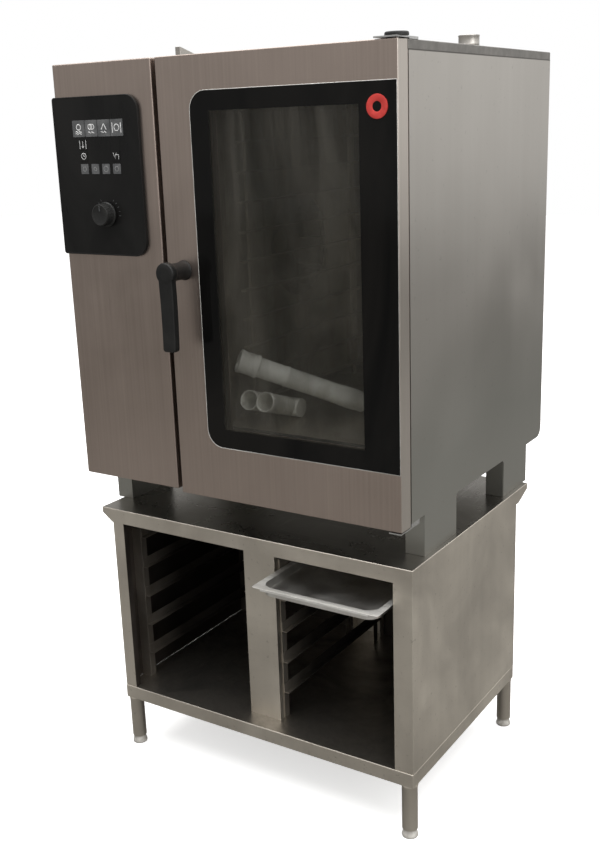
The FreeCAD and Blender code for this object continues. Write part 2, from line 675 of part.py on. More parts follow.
# ---------------------------------------------------------------- door
def glass_outline(name, back, margin, depth):
    """The outer pane's outline, larger by a margin all round, padded forward from its back."""
    right = HALF + " - glass_edge - glass_clearance + " + margin
    body = plate(name, "XZ_Plane", ("0", back, "0"), rectangle(
        "glass_left - " + margin, "glass_bottom - " + margin, right, "glass_top + " + margin), depth)
    round_edges(body, "glass_corner + " + margin, lambda at, along: abs(along.y) > 0.9
                and near(at.x, "glass_left - " + margin))
    return body


def door_shell():
    """The door's outer skin: a folded tray, open where the glass lies."""
    outer = box(("door_left", "0", BOTTOM + " - door_drop"),
                (HALF, "door_thickness - door_inner_sheet", TOP))
    hollow = box(("door_left + casing_sheet", "casing_sheet", BOTTOM + " - door_drop + casing_sheet"),
                 (HALF + " - casing_sheet", "door_thickness", TOP + " - casing_sheet"))
    pane = glass_outline("glass_seat", "casing_sheet + 1", "glass_clearance", "casing_sheet + 2")
    shaft = rod("spindle_radius + running_clearance", "20", ("handle_x", "-5", "handle_z"), "y")
    pins = rod("hinge_pin_radius + hinge_hole_clearance", "body_height * 2",
               ("hinge_x", "hinge_y", "stand_height"))
    part("door_shell", cut(outer, [hollow, pane, shaft, pins]))


def door_inner():
    """The door's inner sheet, with the window opening and the spindle's hole."""
    back = "door_thickness"
    sheet_body = box(("door_left", back + " - door_inner_sheet", BOTTOM + " - door_drop"), (HALF, back, TOP))
    window = box(("window_left - window_lip", back + " - 10", "window_bottom - window_lip"),
                 ("window_right + window_lip", back + " + 5", "window_top + window_lip"))
    shaft = rod("spindle_radius + 1", "30", ("handle_x", back + " - 15", "handle_z"), "y")
    part("door_inner", cut(sheet_body, [window, shaft]))


def door_glass():
    """The printed outer pane with two rounded left corners, and the clear inner pane."""
    part("glass_outer", glass_outline("glass_outer_body", "glass_thickness", "0", "glass_thickness"))
    lap = "inner_glass_lap"
    inner_back = "door_thickness - door_inner_sheet"
    inner = box(("window_left - " + lap, inner_back + " - glass_thickness", "window_bottom - " + lap),
                ("window_right + " + lap, inner_back, "window_top + " + lap))
    part("glass_inner", inner)


def door_badge():
    """A plain round badge on the glass."""
    part("badge", rod("badge_size / 2", "badge_thickness", ("badge_x", "-badge_thickness", "badge_z"), "y"))


def hinges():
    """A bored block at each end of the door, and the casing's two hinge plates with pins."""
    half = "hinge_block_width / 2"
    inner_z = {
        "upper": (TOP + " - casing_sheet - hinge_block_height", TOP + " - casing_sheet"),
        "lower": (BOTTOM + " - door_drop + casing_sheet",
                  BOTTOM + " - door_drop + casing_sheet + hinge_block_height"),
    }
    for label, (low, high) in inner_z.items():
        block = box(("hinge_x - " + half, "hinge_y - " + half, low),
                    ("hinge_x + " + half, "hinge_y + " + half, high))
        bore = rod("hinge_pin_radius + running_clearance", "hinge_block_height * 2",
                   ("hinge_x", "hinge_y", low + " - 5"))
        part("hinge_block_" + label, cut(block, [bore]))
    plate_left = "%s - hinge_plate_width" % HALF
    plate_high = TOP + " + hinge_gap"
    upper = [
        box((plate_left, "-2", plate_high),
            (HALF, BODY_FRONT + " + hinge_plate_back", plate_high + " + hinge_plate")),
        box((plate_left, BODY_FRONT + " + 2", TOP), (HALF, BODY_FRONT + " + hinge_plate_back", plate_high)),
        rod("hinge_pin_radius", "hinge_gap + hinge_block_height * 0.8",
            ("hinge_x", "hinge_y", TOP + " - hinge_block_height * 0.8")),
    ]
    part("hinge_plate_upper", join(upper))
    part("hinge_cap", rod("hinge_cap_radius", "hinge_cap_height",
                          (HALF + " - hinge_cap_inset", "hinge_cap_y", plate_high + " + hinge_plate")))
    plate_low = BOTTOM + " - door_drop - hinge_gap - hinge_plate"
    lower = [
        box(("hinge_x - hinge_block_width", "0", plate_low),
            (HALF + " - casing_sheet", BODY_FRONT + " + hinge_plate_back", plate_low + " + hinge_plate")),
        box(("hinge_x - hinge_block_width", BODY_FRONT + " + 2", plate_low),
            (HALF + " - casing_sheet", BODY_FRONT + " + hinge_plate_back", BOTTOM)),
        rod("hinge_pin_radius", "hinge_gap + casing_sheet + hinge_block_height * 0.8",
            ("hinge_x", "hinge_y", plate_low + " + hinge_plate")),
    ]
    part("hinge_plate_lower", join(lower))


def handle():
    """The lever on its hub, the spindle through the door and the latch cam behind it."""
    grip_back = "-lever_reach + lever_thickness"
    body = plate("handle_lever_body", "XZ_Plane", ("handle_x", grip_back, "handle_z"), [
        ("-lever_top_width / 2", "0"),
        ("-lever_end_width / 2", "-lever_length"),
        ("lever_end_width / 2", "-lever_length"),
        ("lever_top_width / 2", "0"),
    ], "lever_thickness", False)
    round_edges(body, "lever_end_corner", lambda at, along: abs(along.y) > 0.9
                and near(at.z, "-lever_length", 0.5))
    head = rod("lever_head_radius", "lever_thickness", ("handle_x", "-lever_reach", "handle_z"), "y")
    hub_length = "lever_reach - lever_thickness - 1"
    hub = rod("hub_radius", hub_length, ("handle_x", grip_back, "handle_z"), "y")
    part("handle_lever", join([body, head, hub]))
    cam_front = "door_thickness + cam_gap"
    spindle = rod("spindle_radius", "%s + cam_thickness + 1" % cam_front, ("handle_x", "-1", "handle_z"), "y")
    finger = box(("handle_x - cam_width / 2", cam_front, "handle_z - cam_radius"),
                 ("handle_x + cam_width / 2", cam_front + " + cam_thickness", "handle_z"))
    boss = rod("cam_width / 2 + 3", "cam_thickness", ("handle_x", cam_front, "handle_z"), "y")
    part("latch_cam", join([spindle, finger, boss]))


# ---------------------------------------------------------------- cavity
def front_frame():
    """The casing's front sheet round the cavity's mouth, with a hole for the latch."""
    body = box(("fascia_right + 2", BODY_FRONT, BOTTOM + " + leg_sheet"),
               (HALF + " - casing_sheet", BODY_FRONT + " + casing_sheet", LID))
    mouth = box(("mouth_left", BODY_FRONT + " - 5", "cavity_bottom"),
                ("cavity_right", BODY_FRONT + " + 5", "cavity_top"))
    latch = box(("handle_x - latch_hole", BODY_FRONT + " - 5", "handle_z - latch_hole"),
                ("handle_x + latch_hole", BODY_FRONT + " + 5", "handle_z + latch_hole"))
    part("front_frame", cut(body, [mouth, latch]))


def chamber(grow, front):
    """The chamber's outline: a wide part for fan and food, and a narrower mouth in front."""
    step = BODY_FRONT + " + casing_sheet + mouth_depth"
    wide = box(("cavity_left - (%s)" % grow, "%s + cavity_sheet - (%s)" % (step, grow),
                "cavity_bottom - (%s)" % grow),
               ("cavity_right + (%s)" % grow, "cavity_back + (%s)" % grow, "cavity_top + (%s)" % grow))
    mouth = box(("mouth_left - (%s)" % grow, front, "cavity_bottom - (%s)" % grow),
                ("cavity_right + (%s)" % grow, step + " + 10", "cavity_top + (%s)" % grow))
    return join([wide, mouth])


def cavity():
    """The welded stainless chamber, open to the front and at the fan shaft and drain."""
    front = BODY_FRONT + " + casing_sheet"
    shaft = rod("shaft_radius + 6", "30", ("cavity_left - 15", "fan_y", "fan_z"), "x")
    drain = rod("drain_pot_radius - drain_wall", "20", ("drain_x", "drain_y", "cavity_bottom - 10"))
    outer = chamber("cavity_sheet", front)
    part("cavity", cut(outer, [chamber("0", front + " - 5"), shaft, drain]))


def insulation():
    """The mineral wool jacket wrapped round the chamber."""
    front = BODY_FRONT + " + casing_sheet"
    outer = chamber("cavity_sheet + insulation", front + " + 4")
    hollow = chamber("cavity_sheet", front + " - 1")
    motor = rod("motor_radius + 4", "insulation * 3", ("cavity_left - insulation * 2", "fan_y", "fan_z"), "x")
    drain = rod("drain_pot_radius + 4", "insulation * 3", ("drain_x", "drain_y", "cavity_bottom - insulation * 2"))
    latch = box(("handle_x - latch_hole - 4", front, "handle_z - latch_hole - 4"),
                ("handle_x + latch_hole + 4", front + " + latch_depth", "handle_z + latch_hole + 4"))
    part("insulation", cut(outer, [hollow, motor, drain, latch]))


def latch_keeper():
    """The catch plate behind the front sheet, just outside the cam's sweep."""
    front = BODY_FRONT + " + casing_sheet"
    part("latch_keeper", box(
        ("handle_x - latch_hole - 3", front, "handle_z - latch_hole - 3"),
        ("handle_x + latch_hole - 10", front + " + cam_thickness", "handle_z - latch_hole + 4")))


def door_seal():
    """The rubber ring round the mouth, pressed by the closed door."""
    front = "door_thickness + seal_clearance"
    outer = box(("mouth_left - seal_width", front, "cavity_bottom - seal_width"),
                ("cavity_right + seal_width", BODY_FRONT, "cavity_top + seal_width"))
    inner = box(("mouth_left", front + " - 1", "cavity_bottom"),
                ("cavity_right", BODY_FRONT + " + 1", "cavity_top"))
    part("door_seal", cut(outer, [inner]))


def air_baffle():
    """The suction plate in front of the fan, with its round intake."""
    body = box(("baffle_x", "rack_front", "cavity_bottom + baffle_margin"),
               ("baffle_x + cavity_sheet", "cavity_back - baffle_margin", "cavity_top - baffle_margin"))
    hole = rod("baffle_hole_radius", "20", ("baffle_x - 10", "fan_y", "fan_z"), "x")
    stays = []
    for y in ("rack_front", "cavity_back - baffle_margin - 12"):
        for z in ("cavity_bottom + baffle_margin", "cavity_top - baffle_margin - 12"):
            stays.append(box(("cavity_left", y, z), ("baffle_x", y + " + 12", z + " + 12")))
    part("air_baffle", cut(join([body] + stays), [hole]))


def rack(label, face, outward):
    """A hanging rack: two uprights and one rail for each level."""
    def across(start, end):
        near_x = "%s + (%s) * (%s)" % (face, outward, start)
        far_x = "%s + (%s) * (%s)" % (face, outward, end)
        return (near_x, far_x) if outward == "1" else (far_x, near_x)

    pieces = []
    upright = across("rack_rail", "rack_bar")
    rail = across("0 - rack_bar", "rack_rail")
    top = "cavity_top - 8"
    for y in ("rack_front + 40", "rack_front + rack_length - 40 - rack_bar"):
        pieces.append(box((upright[0], y, "cavity_bottom"), (upright[1], y + " + rack_bar", top)))
    for level in range(int(SIZES["rack_levels"])):
        z = "rack_first + %d * rack_pitch" % level
        pieces.append(box((rail[0], "rack_front", z), (rail[1], "rack_front + rack_length", z + " + rack_rail")))
    part(label, join(pieces))


def heater():
    """Two heating rings round the fan."""
    rings = []
    for x in ("baffle_x - fan_width * 0.35", "baffle_x - fan_width * 0.75"):
        ring = doc.addObject("Part::Torus", "ring")
        bind(ring, "Radius1", "heater_radius")
        bind(ring, "Radius2", "heater_rod")
        ring.Placement = FreeCAD.Placement(Vector(), TURNS["x"])
        place(ring, x, "fan_y", "fan_z")
        rings.append(ring)
    tails = [rod("heater_rod", "baffle_x - fan_width * 0.35 - cavity_left",
                 ("cavity_left", "fan_y - heater_radius", "fan_z"), "x")]
    part("heater_ring", join(rings + tails))


def fan():
    """The radial fan wheel on its shaft, and the motor that carries the shaft."""
    wheel_x = "baffle_x - fan_clearance - fan_width"
    wheel = new_body("fan_body", wheel_x, "fan_y", "fan_z")
    disc = circle(wheel, "YZ_Plane", "0", "0", "fan_radius")
    feature("PartDesign::Pad", wheel, disc, "fan_blade_thickness", False)
    blade = outline(wheel, "YZ_Plane", rectangle(
        "fan_radius - 2 - fan_blade_depth", "-fan_blade_thickness / 2",
        "fan_radius - 2", "fan_blade_thickness / 2"))
    first = feature("PartDesign::Pad", wheel, blade, "fan_width", False)
    pattern = wheel.newObject("PartDesign::PolarPattern", "blades")
    pattern.Originals = [first]
    origin = {item.Role: item for item in wheel.Origin.OriginFeatures}
    pattern.Axis = (origin["X_Axis"], [""])
    pattern.Angle = 360
    bind(pattern, "Occurrences", "fan_blades")
    wheel.Tip = pattern
    doc.recompute()
    shaft = rod("shaft_radius", "%s - cavity_left + cavity_sheet + motor_length / 2 + fan_blade_thickness" % wheel_x,
                ("cavity_left - cavity_sheet - motor_length / 2", "fan_y", "fan_z"), "x")
    hub = rod("fan_hub_radius", "fan_width * 0.4", (wheel_x, "fan_y", "fan_z"), "x")
    part("fan_wheel", join([wheel, hub, shaft]))
    motor_start = "cavity_left - cavity_sheet - motor_length"
    can = rod("motor_radius", "motor_length", (motor_start, "fan_y", "fan_z"), "x")
    bore = rod("shaft_radius + running_clearance", "motor_length / 2 + 2",
               ("cavity_left - cavity_sheet - motor_length / 2 - 1", "fan_y", "fan_z"), "x")
    part("fan_motor", cut(can, [bore]))


def drain_pot():
    """The drain pot under the chamber floor and its outlet pipe to the rear."""
    top = "cavity_bottom - cavity_sheet"
    low = "drain_pipe_z - drain_pipe_radius - 4"
    pot = rod("drain_pot_radius", "%s - (%s)" % (top, low), ("drain_x", "drain_y", low))
    pipe = rod("drain_pipe_radius - 1", "oven_depth - drain_y", ("drain_x", "drain_y", "drain_pipe_z"), "y")
    spigot = rod("drain_pipe_radius", "drain_reach", ("drain_x", "oven_depth", "drain_pipe_z"), "y")
    inner_pot = rod("drain_pot_radius - drain_wall", "%s - (%s)" % (top, low),
                    ("drain_x", "drain_y", low + " + drain_wall"))
    inner_pipe = rod("drain_pipe_radius - drain_wall", "oven_depth + drain_reach - drain_y + 1",
                     ("drain_x", "drain_y", "drain_pipe_z"), "y")
    part("drain_pot", cut(join([pot, pipe, spigot]), [inner_pot, inner_pipe]))


def drain_kit():
    """Loose grey drain pipes stored in the chamber: one leans, an elbow pair lies in front."""
    pipe = doc.addObject("Part::Cylinder", "kit_pipe")
    bind(pipe, "Radius", "kit_radius")
    bind(pipe, "Height", "kit_length")
    bore = doc.addObject("Part::Cylinder", "kit_bore")
    bind(bore, "Radius", "kit_radius - kit_wall")
    bind(bore, "Height", "kit_length")
    collar = doc.addObject("Part::Cylinder", "kit_collar")
    bind(collar, "Radius", "kit_radius + kit_collar")
    bind(collar, "Height", "kit_collar_length")
    lean = Vector(220, 186, -119)
    turn = FreeCAD.Rotation(Vector(0, 0, 1), lean)
    for item in (pipe, bore, collar):
        item.Placement = FreeCAD.Placement(Vector(), turn)
        place(item, "mouth_left + 26", "rack_front - 39", "cavity_bottom + 146")
    part("drain_kit_pipe", cut(join([pipe, collar]), [bore]))
    socket_lean = Vector(0, -111, 37)
    socket_turn = FreeCAD.Rotation(Vector(0, 0, 1), socket_lean)
    pieces = [rod("kit_radius", "4 * kit_radius", ("mouth_left + 36", "socket_y", "cavity_bottom + kit_radius"), "x")]
    cuts = []
    for step in (0, 1):
        x = "mouth_left + 58 + %d * (2 * kit_radius - kit_wall)" % step
        for group, radius, start in ((pieces, "kit_radius", 0), (cuts, "kit_radius - kit_wall", 30)):
            item = doc.addObject("Part::Cylinder", "kit_socket")
            bind(item, "Radius", radius)
            bind(item, "Height", "socket_length")
            item.Placement = FreeCAD.Placement(Vector(), socket_turn)
            step_back = socket_lean.normalize() * start
            place(item, x, "socket_y + (%s)" % step_back.y, "cavity_bottom + kit_radius + %s" % step_back.z)
            group.append(item)
    part("drain_kit_elbow", cut(join(pieces), cuts))


def build():
    fill_sheet()
    stand_top()
    stand_side("stand_side_left", SIDE_LEFT, "1", "left_flange")
    stand_side("stand_side_right", SIDE_RIGHT, "-1", "right_flange")
    stand_shelf()
    stand_post("stand_post_front", "post_front", "post_front", "post_front + post_return")
    stand_back()
    stand_post("stand_post_rear", "post_back", "post_back + post_return - stand_sheet", "post_back + post_return")
    left_gap = "left_flange - bay_clearance - runner_sheet"
    right_gap = "right_flange - bay_clearance - runner_sheet"
    runner_set("runners_left_outer", SIDE_LEFT + " + stand_sheet", "1", left_gap + " - stand_sheet")
    runner_set("runners_left_inner", "post_left", "-1", "bay_clearance")
    runner_set("runners_right_inner", "post_right", "1", "bay_clearance")
    runner_set("runners_right_outer", SIDE_RIGHT + " - stand_sheet", "-1", right_gap + " - stand_sheet")
    tray()
    stand_legs()
    chassis()
    side_panel("side_panel_left", "-" + HALF, False)
    side_panel("side_panel_right", HALF, True)
    roof()
    rear_panel()
    fascia()
    vent_stub()
    vent_hood()
    service_plate()
    control_panel()
    control_keys()
    control_board()
    dial()
    door_shell()
    door_inner()
    door_glass()
    door_badge()
    hinges()
    handle()
    front_frame()
    cavity()
    insulation()
    latch_keeper()
    door_seal()
    air_baffle()
    rack("rack_left", "rack_middle - rack_spacing / 2", "-1")
    rack("rack_right", "rack_middle + rack_spacing / 2", "1")
    heater()
    fan()
    drain_pot()
    drain_kit()
    doc.recompute()


def check_and_write():
    """Stop on any failed object or bad shape, then write one file for each sub-part."""
    for obj in doc.Objects:
        if "Invalid" in obj.State or "Error" in obj.State:
            raise ValueError("%s failed: %s" % (obj.Label, obj.State))
    for obj in parts:
        if obj.Shape.isNull() or not obj.Shape.isValid() or not obj.Shape.Solids:
            raise ValueError("bad shape: " + obj.Label)
    os.makedirs("parts", exist_ok=True)
    for obj in parts:
        obj.Shape.exportStep("parts/%s.step" % obj.Label)
    print(len(parts), "sub-parts")


build()
check_and_write()
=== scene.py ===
"""Visual model of a combi steamer oven on its stand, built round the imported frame."""
import bpy
import math
from mathutils import Matrix, Vector


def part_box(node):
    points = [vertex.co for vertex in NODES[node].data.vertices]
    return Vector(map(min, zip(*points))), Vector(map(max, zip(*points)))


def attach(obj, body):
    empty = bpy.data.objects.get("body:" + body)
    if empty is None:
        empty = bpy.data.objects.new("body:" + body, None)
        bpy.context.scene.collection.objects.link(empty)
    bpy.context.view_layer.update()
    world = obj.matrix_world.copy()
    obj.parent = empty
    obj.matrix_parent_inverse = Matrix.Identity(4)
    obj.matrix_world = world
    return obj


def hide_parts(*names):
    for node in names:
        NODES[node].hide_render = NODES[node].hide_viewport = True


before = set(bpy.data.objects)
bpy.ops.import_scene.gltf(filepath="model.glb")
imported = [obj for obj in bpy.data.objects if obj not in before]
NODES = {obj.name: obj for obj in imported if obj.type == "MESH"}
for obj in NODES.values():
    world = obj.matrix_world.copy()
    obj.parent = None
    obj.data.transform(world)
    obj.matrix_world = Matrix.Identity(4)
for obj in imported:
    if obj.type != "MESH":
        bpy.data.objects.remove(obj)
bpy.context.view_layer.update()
MM = 0.001
DOUBLES = 0.02 * MM
SEAM_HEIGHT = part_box("roof")[0].z


# ---- material helpers
def new_finish(name):
    """A node material with one Principled shader, and its node tree."""
    finish = bpy.data.materials.new(name)
    finish.use_nodes = True
    return finish, finish.node_tree


def fill(tree, node, sockets):
    """Each named socket of a node gets a link from another socket, or a plain value."""
    for key, value in sockets.items():
        if isinstance(value, bpy.types.NodeSocket):
            tree.links.new(value, node.inputs[key])
        else:
            node.inputs[key].default_value = value


def add_node(tree, kind, sockets=None, **settings):
    """A node with its settings and what goes into its sockets."""
    made = tree.nodes.new(kind)
    for key, value in settings.items():
        setattr(made, key, value)
    fill(tree, made, sockets or {})
    return made


def cloudy(tree, stretch, scale, detail=3.0, rough=0.55, bend=0.0):
    """A noise pattern over object coordinates that are scaled apart along each axis."""
    where = add_node(tree, "ShaderNodeTexCoord").outputs["Object"]
    scaled = add_node(tree, "ShaderNodeMapping", {"Scale": stretch, "Vector": where})
    noise = add_node(tree, "ShaderNodeTexNoise", {
        "Vector": scaled.outputs["Vector"], "Scale": scale, "Detail": detail,
        "Roughness": rough, "Distortion": bend})
    return noise.outputs["Fac"]


def ramp(tree, value, low, high, start, end):
    """A value mapped from low..high to start..end."""
    mapped = add_node(tree, "ShaderNodeMapRange", {
        "Value": value, "From Min": low, "From Max": high, "To Min": start, "To Max": end})
    return mapped.outputs["Result"]


def colours(tree, value, stops):
    """A colour ramp over a value."""
    scale = add_node(tree, "ShaderNodeValToRGB", {"Fac": value})
    marks = scale.color_ramp.elements
    while len(marks) < len(stops):
        marks.new(0.5)
    for mark, (where, colour) in zip(marks, stops):
        mark.position = where
        mark.color = (*colour, 1.0)
    return scale.outputs["Color"]


def mixed(tree, share, first, second):
    """Two colours mixed; share, first and second may be sockets or plain values."""
    sockets = {key: (*value, 1.0) if isinstance(value, tuple) else value
               for key, value in ((0, share), (6, first), (7, second))}
    return add_node(tree, "ShaderNodeMix", sockets, data_type="RGBA").outputs[2]


def worked(tree, way, first, second):
    """One sum on two sockets or numbers."""
    return add_node(tree, "ShaderNodeMath", {0: first, 1: second}, operation=way).outputs["Value"]


def place_along(tree, axis):
    """How far along X, Y or Z a point of the piece is, in metres."""
    where = add_node(tree, "ShaderNodeTexCoord").outputs["Object"]
    return add_node(tree, "ShaderNodeSeparateXYZ", {"Vector": where}).outputs[axis]


def coated(finish, base, shine, more=None, bump=None):
    """The finish with its colour, its shine, its other sockets and, where asked, its bump."""
    tree = finish.node_tree
    sockets = {"Base Color": base, "Roughness": shine, **(more or {})}
    if bump:
        height, strength, distance = bump
        made = add_node(tree, "ShaderNodeBump", {
            "Height": height, "Strength": strength, "Distance": distance})
        sockets["Normal"] = made.outputs["Normal"]
    fill(tree, tree.nodes["Principled BSDF"], sockets)
    return finish


# ---- finishes
EVEN = (1, 1, 1)
METAL = {"Metallic": 1.0}


def one_noise(name, stretch, noise, stops, shine, more=None, bump=None):
    """A finish over one noise pattern: its colours, its shine and, where asked, its bump."""
    finish, tree = new_finish(name)
    pattern = cloudy(tree, stretch, *noise)
    if isinstance(shine, tuple):
        shine = ramp(tree, pattern, *shine)
    return coated(finish, colours(tree, pattern, stops), shine, more, bump and (pattern, *bump))


def brushed_sheet(name, dark, light, grain, smudge, roughness, bump, painted_highlight_from=None):
    """Brushed stainless sheet: fine grain, broad streaks and wiped smudges, with a painted highlight past an
    edge where asked.
    """
    finish, tree = new_finish(name)
    fine = cloudy(tree, [g * 6 for g in grain], 1.0, 2.0)
    broad = cloudy(tree, grain, 1.0, 3.0)
    marks = cloudy(tree, EVEN, smudge, 4.0, 0.6, 0.4)
    tone = worked(tree, "ADD", worked(tree, "MULTIPLY", broad, 0.55), worked(tree, "MULTIPLY", marks, 0.45))
    base = colours(tree, tone, [(0.36, dark), (0.64, light)])
    if painted_highlight_from is not None:
        # Painted highlight: past the edge the sheet is mixed towards a bright tone.
        painted_highlight_strip = ramp(tree, place_along(tree, "X"), painted_highlight_from, painted_highlight_from + 0.003, 0.0, 0.75)
        base = mixed(tree, painted_highlight_strip, base, (0.62, 0.595, 0.55))
    shine = worked(tree, "ADD", ramp(tree, marks, 0.3, 0.7, roughness - 0.06, roughness + 0.08),
                   ramp(tree, fine, 0.3, 0.7, -0.04, 0.04))
    rise = worked(tree, "ADD", fine, worked(tree, "MULTIPLY", broad, 0.5))
    return coated(finish, base, shine, {"Metallic": 1.0, "Anisotropic": 0.35}, (rise, bump, 0.0006))


# Warm, vertically brushed stainless of the door and the fascia, with a painted highlight past the glass's right
# edge.
FRONT_STEEL = brushed_sheet("front steel", (0.405, 0.335, 0.295), (0.475, 0.395, 0.35),
                            (150, 150, 1.2), 2.4, 0.34, 0.05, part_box("glass_outer")[1].x)


def casing_steel():
    """Plain satin stainless of the casing's sides, darker and cloudier near the bottom, where a painted
    reflection darkens it.
    """
    finish, tree = new_finish("casing steel")
    streak = cloudy(tree, (22, 22, 0.9), 1.0, 3.0)
    cloud = cloudy(tree, EVEN, 1.6, 3.0, 0.5, 0.6)
    spots = cloudy(tree, EVEN, 60.0, 2.0, 0.7)
    tone = worked(tree, "ADD", worked(tree, "MULTIPLY", streak, 0.2), worked(tree, "MULTIPLY", cloud, 0.8))
    base = colours(tree, tone, [(0.34, (0.455, 0.432, 0.40)), (0.68, (0.545, 0.522, 0.49))])
    # Painted reflection: below a height the sheet is mixed towards a darker tone, as a dark floor would mirror
    # in it.
    low = ramp(tree, worked(tree, "ADD", place_along(tree, "Z"), worked(tree, "MULTIPLY", cloud, 0.25)),
               1.00, 1.32, 0.9, 0.0)
    base = mixed(tree, low, base, (0.345, 0.345, 0.318))
    seam = worked(tree, "ABSOLUTE", worked(tree, "SUBTRACT", place_along(tree, "Z"), SEAM_HEIGHT), 0.0)
    base = mixed(tree, ramp(tree, seam, 0.0012, 0.0024, 0.85, 0.0), base, (0.05, 0.045, 0.04))
    base = mixed(tree, ramp(tree, spots, 0.66, 0.72, 0.0, 0.25), base, (0.25, 0.24, 0.22))
    return coated(finish, base, ramp(tree, cloud, 0.3, 0.7, 0.28, 0.42), METAL, (cloud, 0.18, 0.004))


# The casing's roof: the same sheet, dustier.
ROOF_STEEL = brushed_sheet("roof steel", (0.20, 0.193, 0.182), (0.28, 0.27, 0.255),
                           (2, 40, 40), 7.0, 0.48, 0.10)


def stand_steel():
    """Dull worn stainless of the stand, with scuffs and dried splashes."""
    finish, tree = new_finish("stand steel")
    streak = cloudy(tree, (30, 30, 1.4), 1.0, 3.0)
    cloud = cloudy(tree, EVEN, 4.0, 5.0, 0.6, 0.8)
    spots = cloudy(tree, EVEN, 90.0, 3.0, 0.7)
    tone = worked(tree, "ADD", worked(tree, "MULTIPLY", streak, 0.2), worked(tree, "MULTIPLY", cloud, 0.8))
    base = colours(tree, tone, [(0.34, (0.49, 0.45, 0.395)), (0.66, (0.63, 0.585, 0.515))])
    base = mixed(tree, ramp(tree, spots, 0.64, 0.72, 0.0, 0.35), base, (0.16, 0.14, 0.115))
    return coated(finish, base, ramp(tree, cloud, 0.3, 0.7, 0.34, 0.52),
                  METAL, (worked(tree, "ADD", streak, worked(tree, "MULTIPLY", cloud, 2.0)), 0.12, 0.001))


def bay_steel(name, dark, light):
    """The insides of the stand's bays: greasy steel whose dark tone is painted shade, darker still deeper in."""
    finish, tree = new_finish(name)
    grease = cloudy(tree, (3, 3, 2), 1.0, 5.0, 0.6, 1.2)
    base = colours(tree, grease, [(0.32, dark), (0.7, light)])
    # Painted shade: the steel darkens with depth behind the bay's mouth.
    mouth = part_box("stand_post_front")[0].y
    inside = ramp(tree, place_along(tree, "Y"), mouth + 0.03, mouth + 0.16, 0.0, 0.8)
    base = mixed(tree, inside, base, (0.03, 0.026, 0.022))
    return coated(finish, base, ramp(tree, grease, 0.3, 0.7, 0.38, 0.55),
                  {"Metallic": 0.9}, (grease, 0.15, 0.001))


def worktop_steel():
    """The stand's top: smoother and darker, with scratches going every way."""
    finish, tree = new_finish("worktop steel")
    cloud = cloudy(tree, EVEN, 5.0, 5.0, 0.6, 0.4)
    long_marks = cloudy(tree, (3, 70, 70), 1.0, 4.0, 0.7, 0.3)
    cross_marks = cloudy(tree, (60, 4, 60), 1.0, 4.0, 0.7, 0.6)
    marks = worked(tree, "MAXIMUM", long_marks, cross_marks)
    base = colours(tree, cloud, [(0.3, (0.23, 0.215, 0.195)), (0.7, (0.38, 0.36, 0.33))])
    base = mixed(tree, ramp(tree, marks, 0.6, 0.75, 0.0, 0.5), base, (0.55, 0.53, 0.50))
    return coated(finish, base, ramp(tree, cloud, 0.3, 0.7, 0.20, 0.38), METAL, (marks, 0.25, 0.0008))


def marked_steel(name, cloud, stops, marks, share, mark, shine, metallic, bump, marks_raised=True):
    """Stainless with a cloudy tone, marks of another colour over it, and one of them raised."""
    finish, tree = new_finish(name)
    cloud = cloudy(tree, EVEN, *cloud)
    marks = cloudy(tree, *marks)
    base = mixed(tree, ramp(tree, marks, *share), colours(tree, cloud, stops), mark)
    return coated(finish, base, ramp(tree, cloud, 0.3, 0.7, *shine), {"Metallic": metallic},
                  (marks if marks_raised else cloud, *bump))


# The bottom shelf: stained and scratched from trays.
SHELF_STEEL = marked_steel(
    "shelf steel", (6.0, 6.0, 0.65, 0.4),
    [(0.32, (0.24, 0.215, 0.19)), (0.5, (0.46, 0.43, 0.385)), (0.7, (0.66, 0.63, 0.58))],
    ((40, 5, 40), 1.0, 4.0, 0.7, 0.5), (0.6, 0.7, 0.0, 0.35), (0.5, 0.48, 0.45), (0.45, 0.3), 1.0, (0.2, 0.0008))

# Heat dulled stainless inside the chamber, with brown cooking haze.
CHAMBER_STEEL = marked_steel(
    "chamber steel", (5.0, 5.0, 0.6, 1.0), [(0.3, (0.25, 0.225, 0.175)), (0.7, (0.48, 0.455, 0.39))],
    ((30, 30, 1.2), 1.0, 3.0), (0.5, 0.7, 0.0, 0.5), (0.27, 0.215, 0.16), (0.28, 0.5), 0.9, (0.2, 0.002), False)

# Bright pressed steel with fine scratches and a little wear.
TRAY_STEEL = marked_steel(
    "tray steel", (12.0, 5.0, 0.6, 0.2), [(0.3, (0.62, 0.605, 0.575)), (0.7, (0.85, 0.84, 0.81))],
    ((90, 6, 90), 1.0, 4.0, 0.7, 0.8), (0.6, 0.7, 0.0, 0.4), (0.28, 0.27, 0.25), (0.34, 0.52), 1.0,
    (0.15, 0.0006))

# The tray's rim, rubbed bright and slightly matt.
RIM_STEEL = one_noise("rim steel", (6, 40, 40), (1.0, 4.0, 0.7, 0.5),
                      [(0.35, (0.55, 0.54, 0.51)), (0.6, (0.86, 0.85, 0.82))],
                      (0.3, 0.7, 0.5, 0.36), {"Metallic": 0.6}, (0.12, 0.0004))

# Turned parts: pins, spindle, cam and keeper.
MACHINED_STEEL = brushed_sheet("machined steel", (0.45, 0.45, 0.45), (0.62, 0.62, 0.61),
                               (200, 200, 200), 30.0, 0.28, 0.05)


def moulded_black(name, tone, roughness, grain):
    """Black moulded plastic with a fine grain and worn, slightly paler patches."""
    finish, tree = new_finish(name)
    pores = cloudy(tree, EVEN, grain, 2.0)
    worn = cloudy(tree, EVEN, 14.0, 4.0, 0.6, 0.5)
    base = colours(tree, worn, [(0.4, (tone, tone, tone)), (0.75, (tone * 2.2, tone * 2.2, tone * 2.1))])
    return coated(finish, base, ramp(tree, worn, 0.3, 0.7, roughness + 0.08, roughness - 0.08),
                  {"Specular IOR Level": 0.28}, (pores, 0.25, 0.0003))


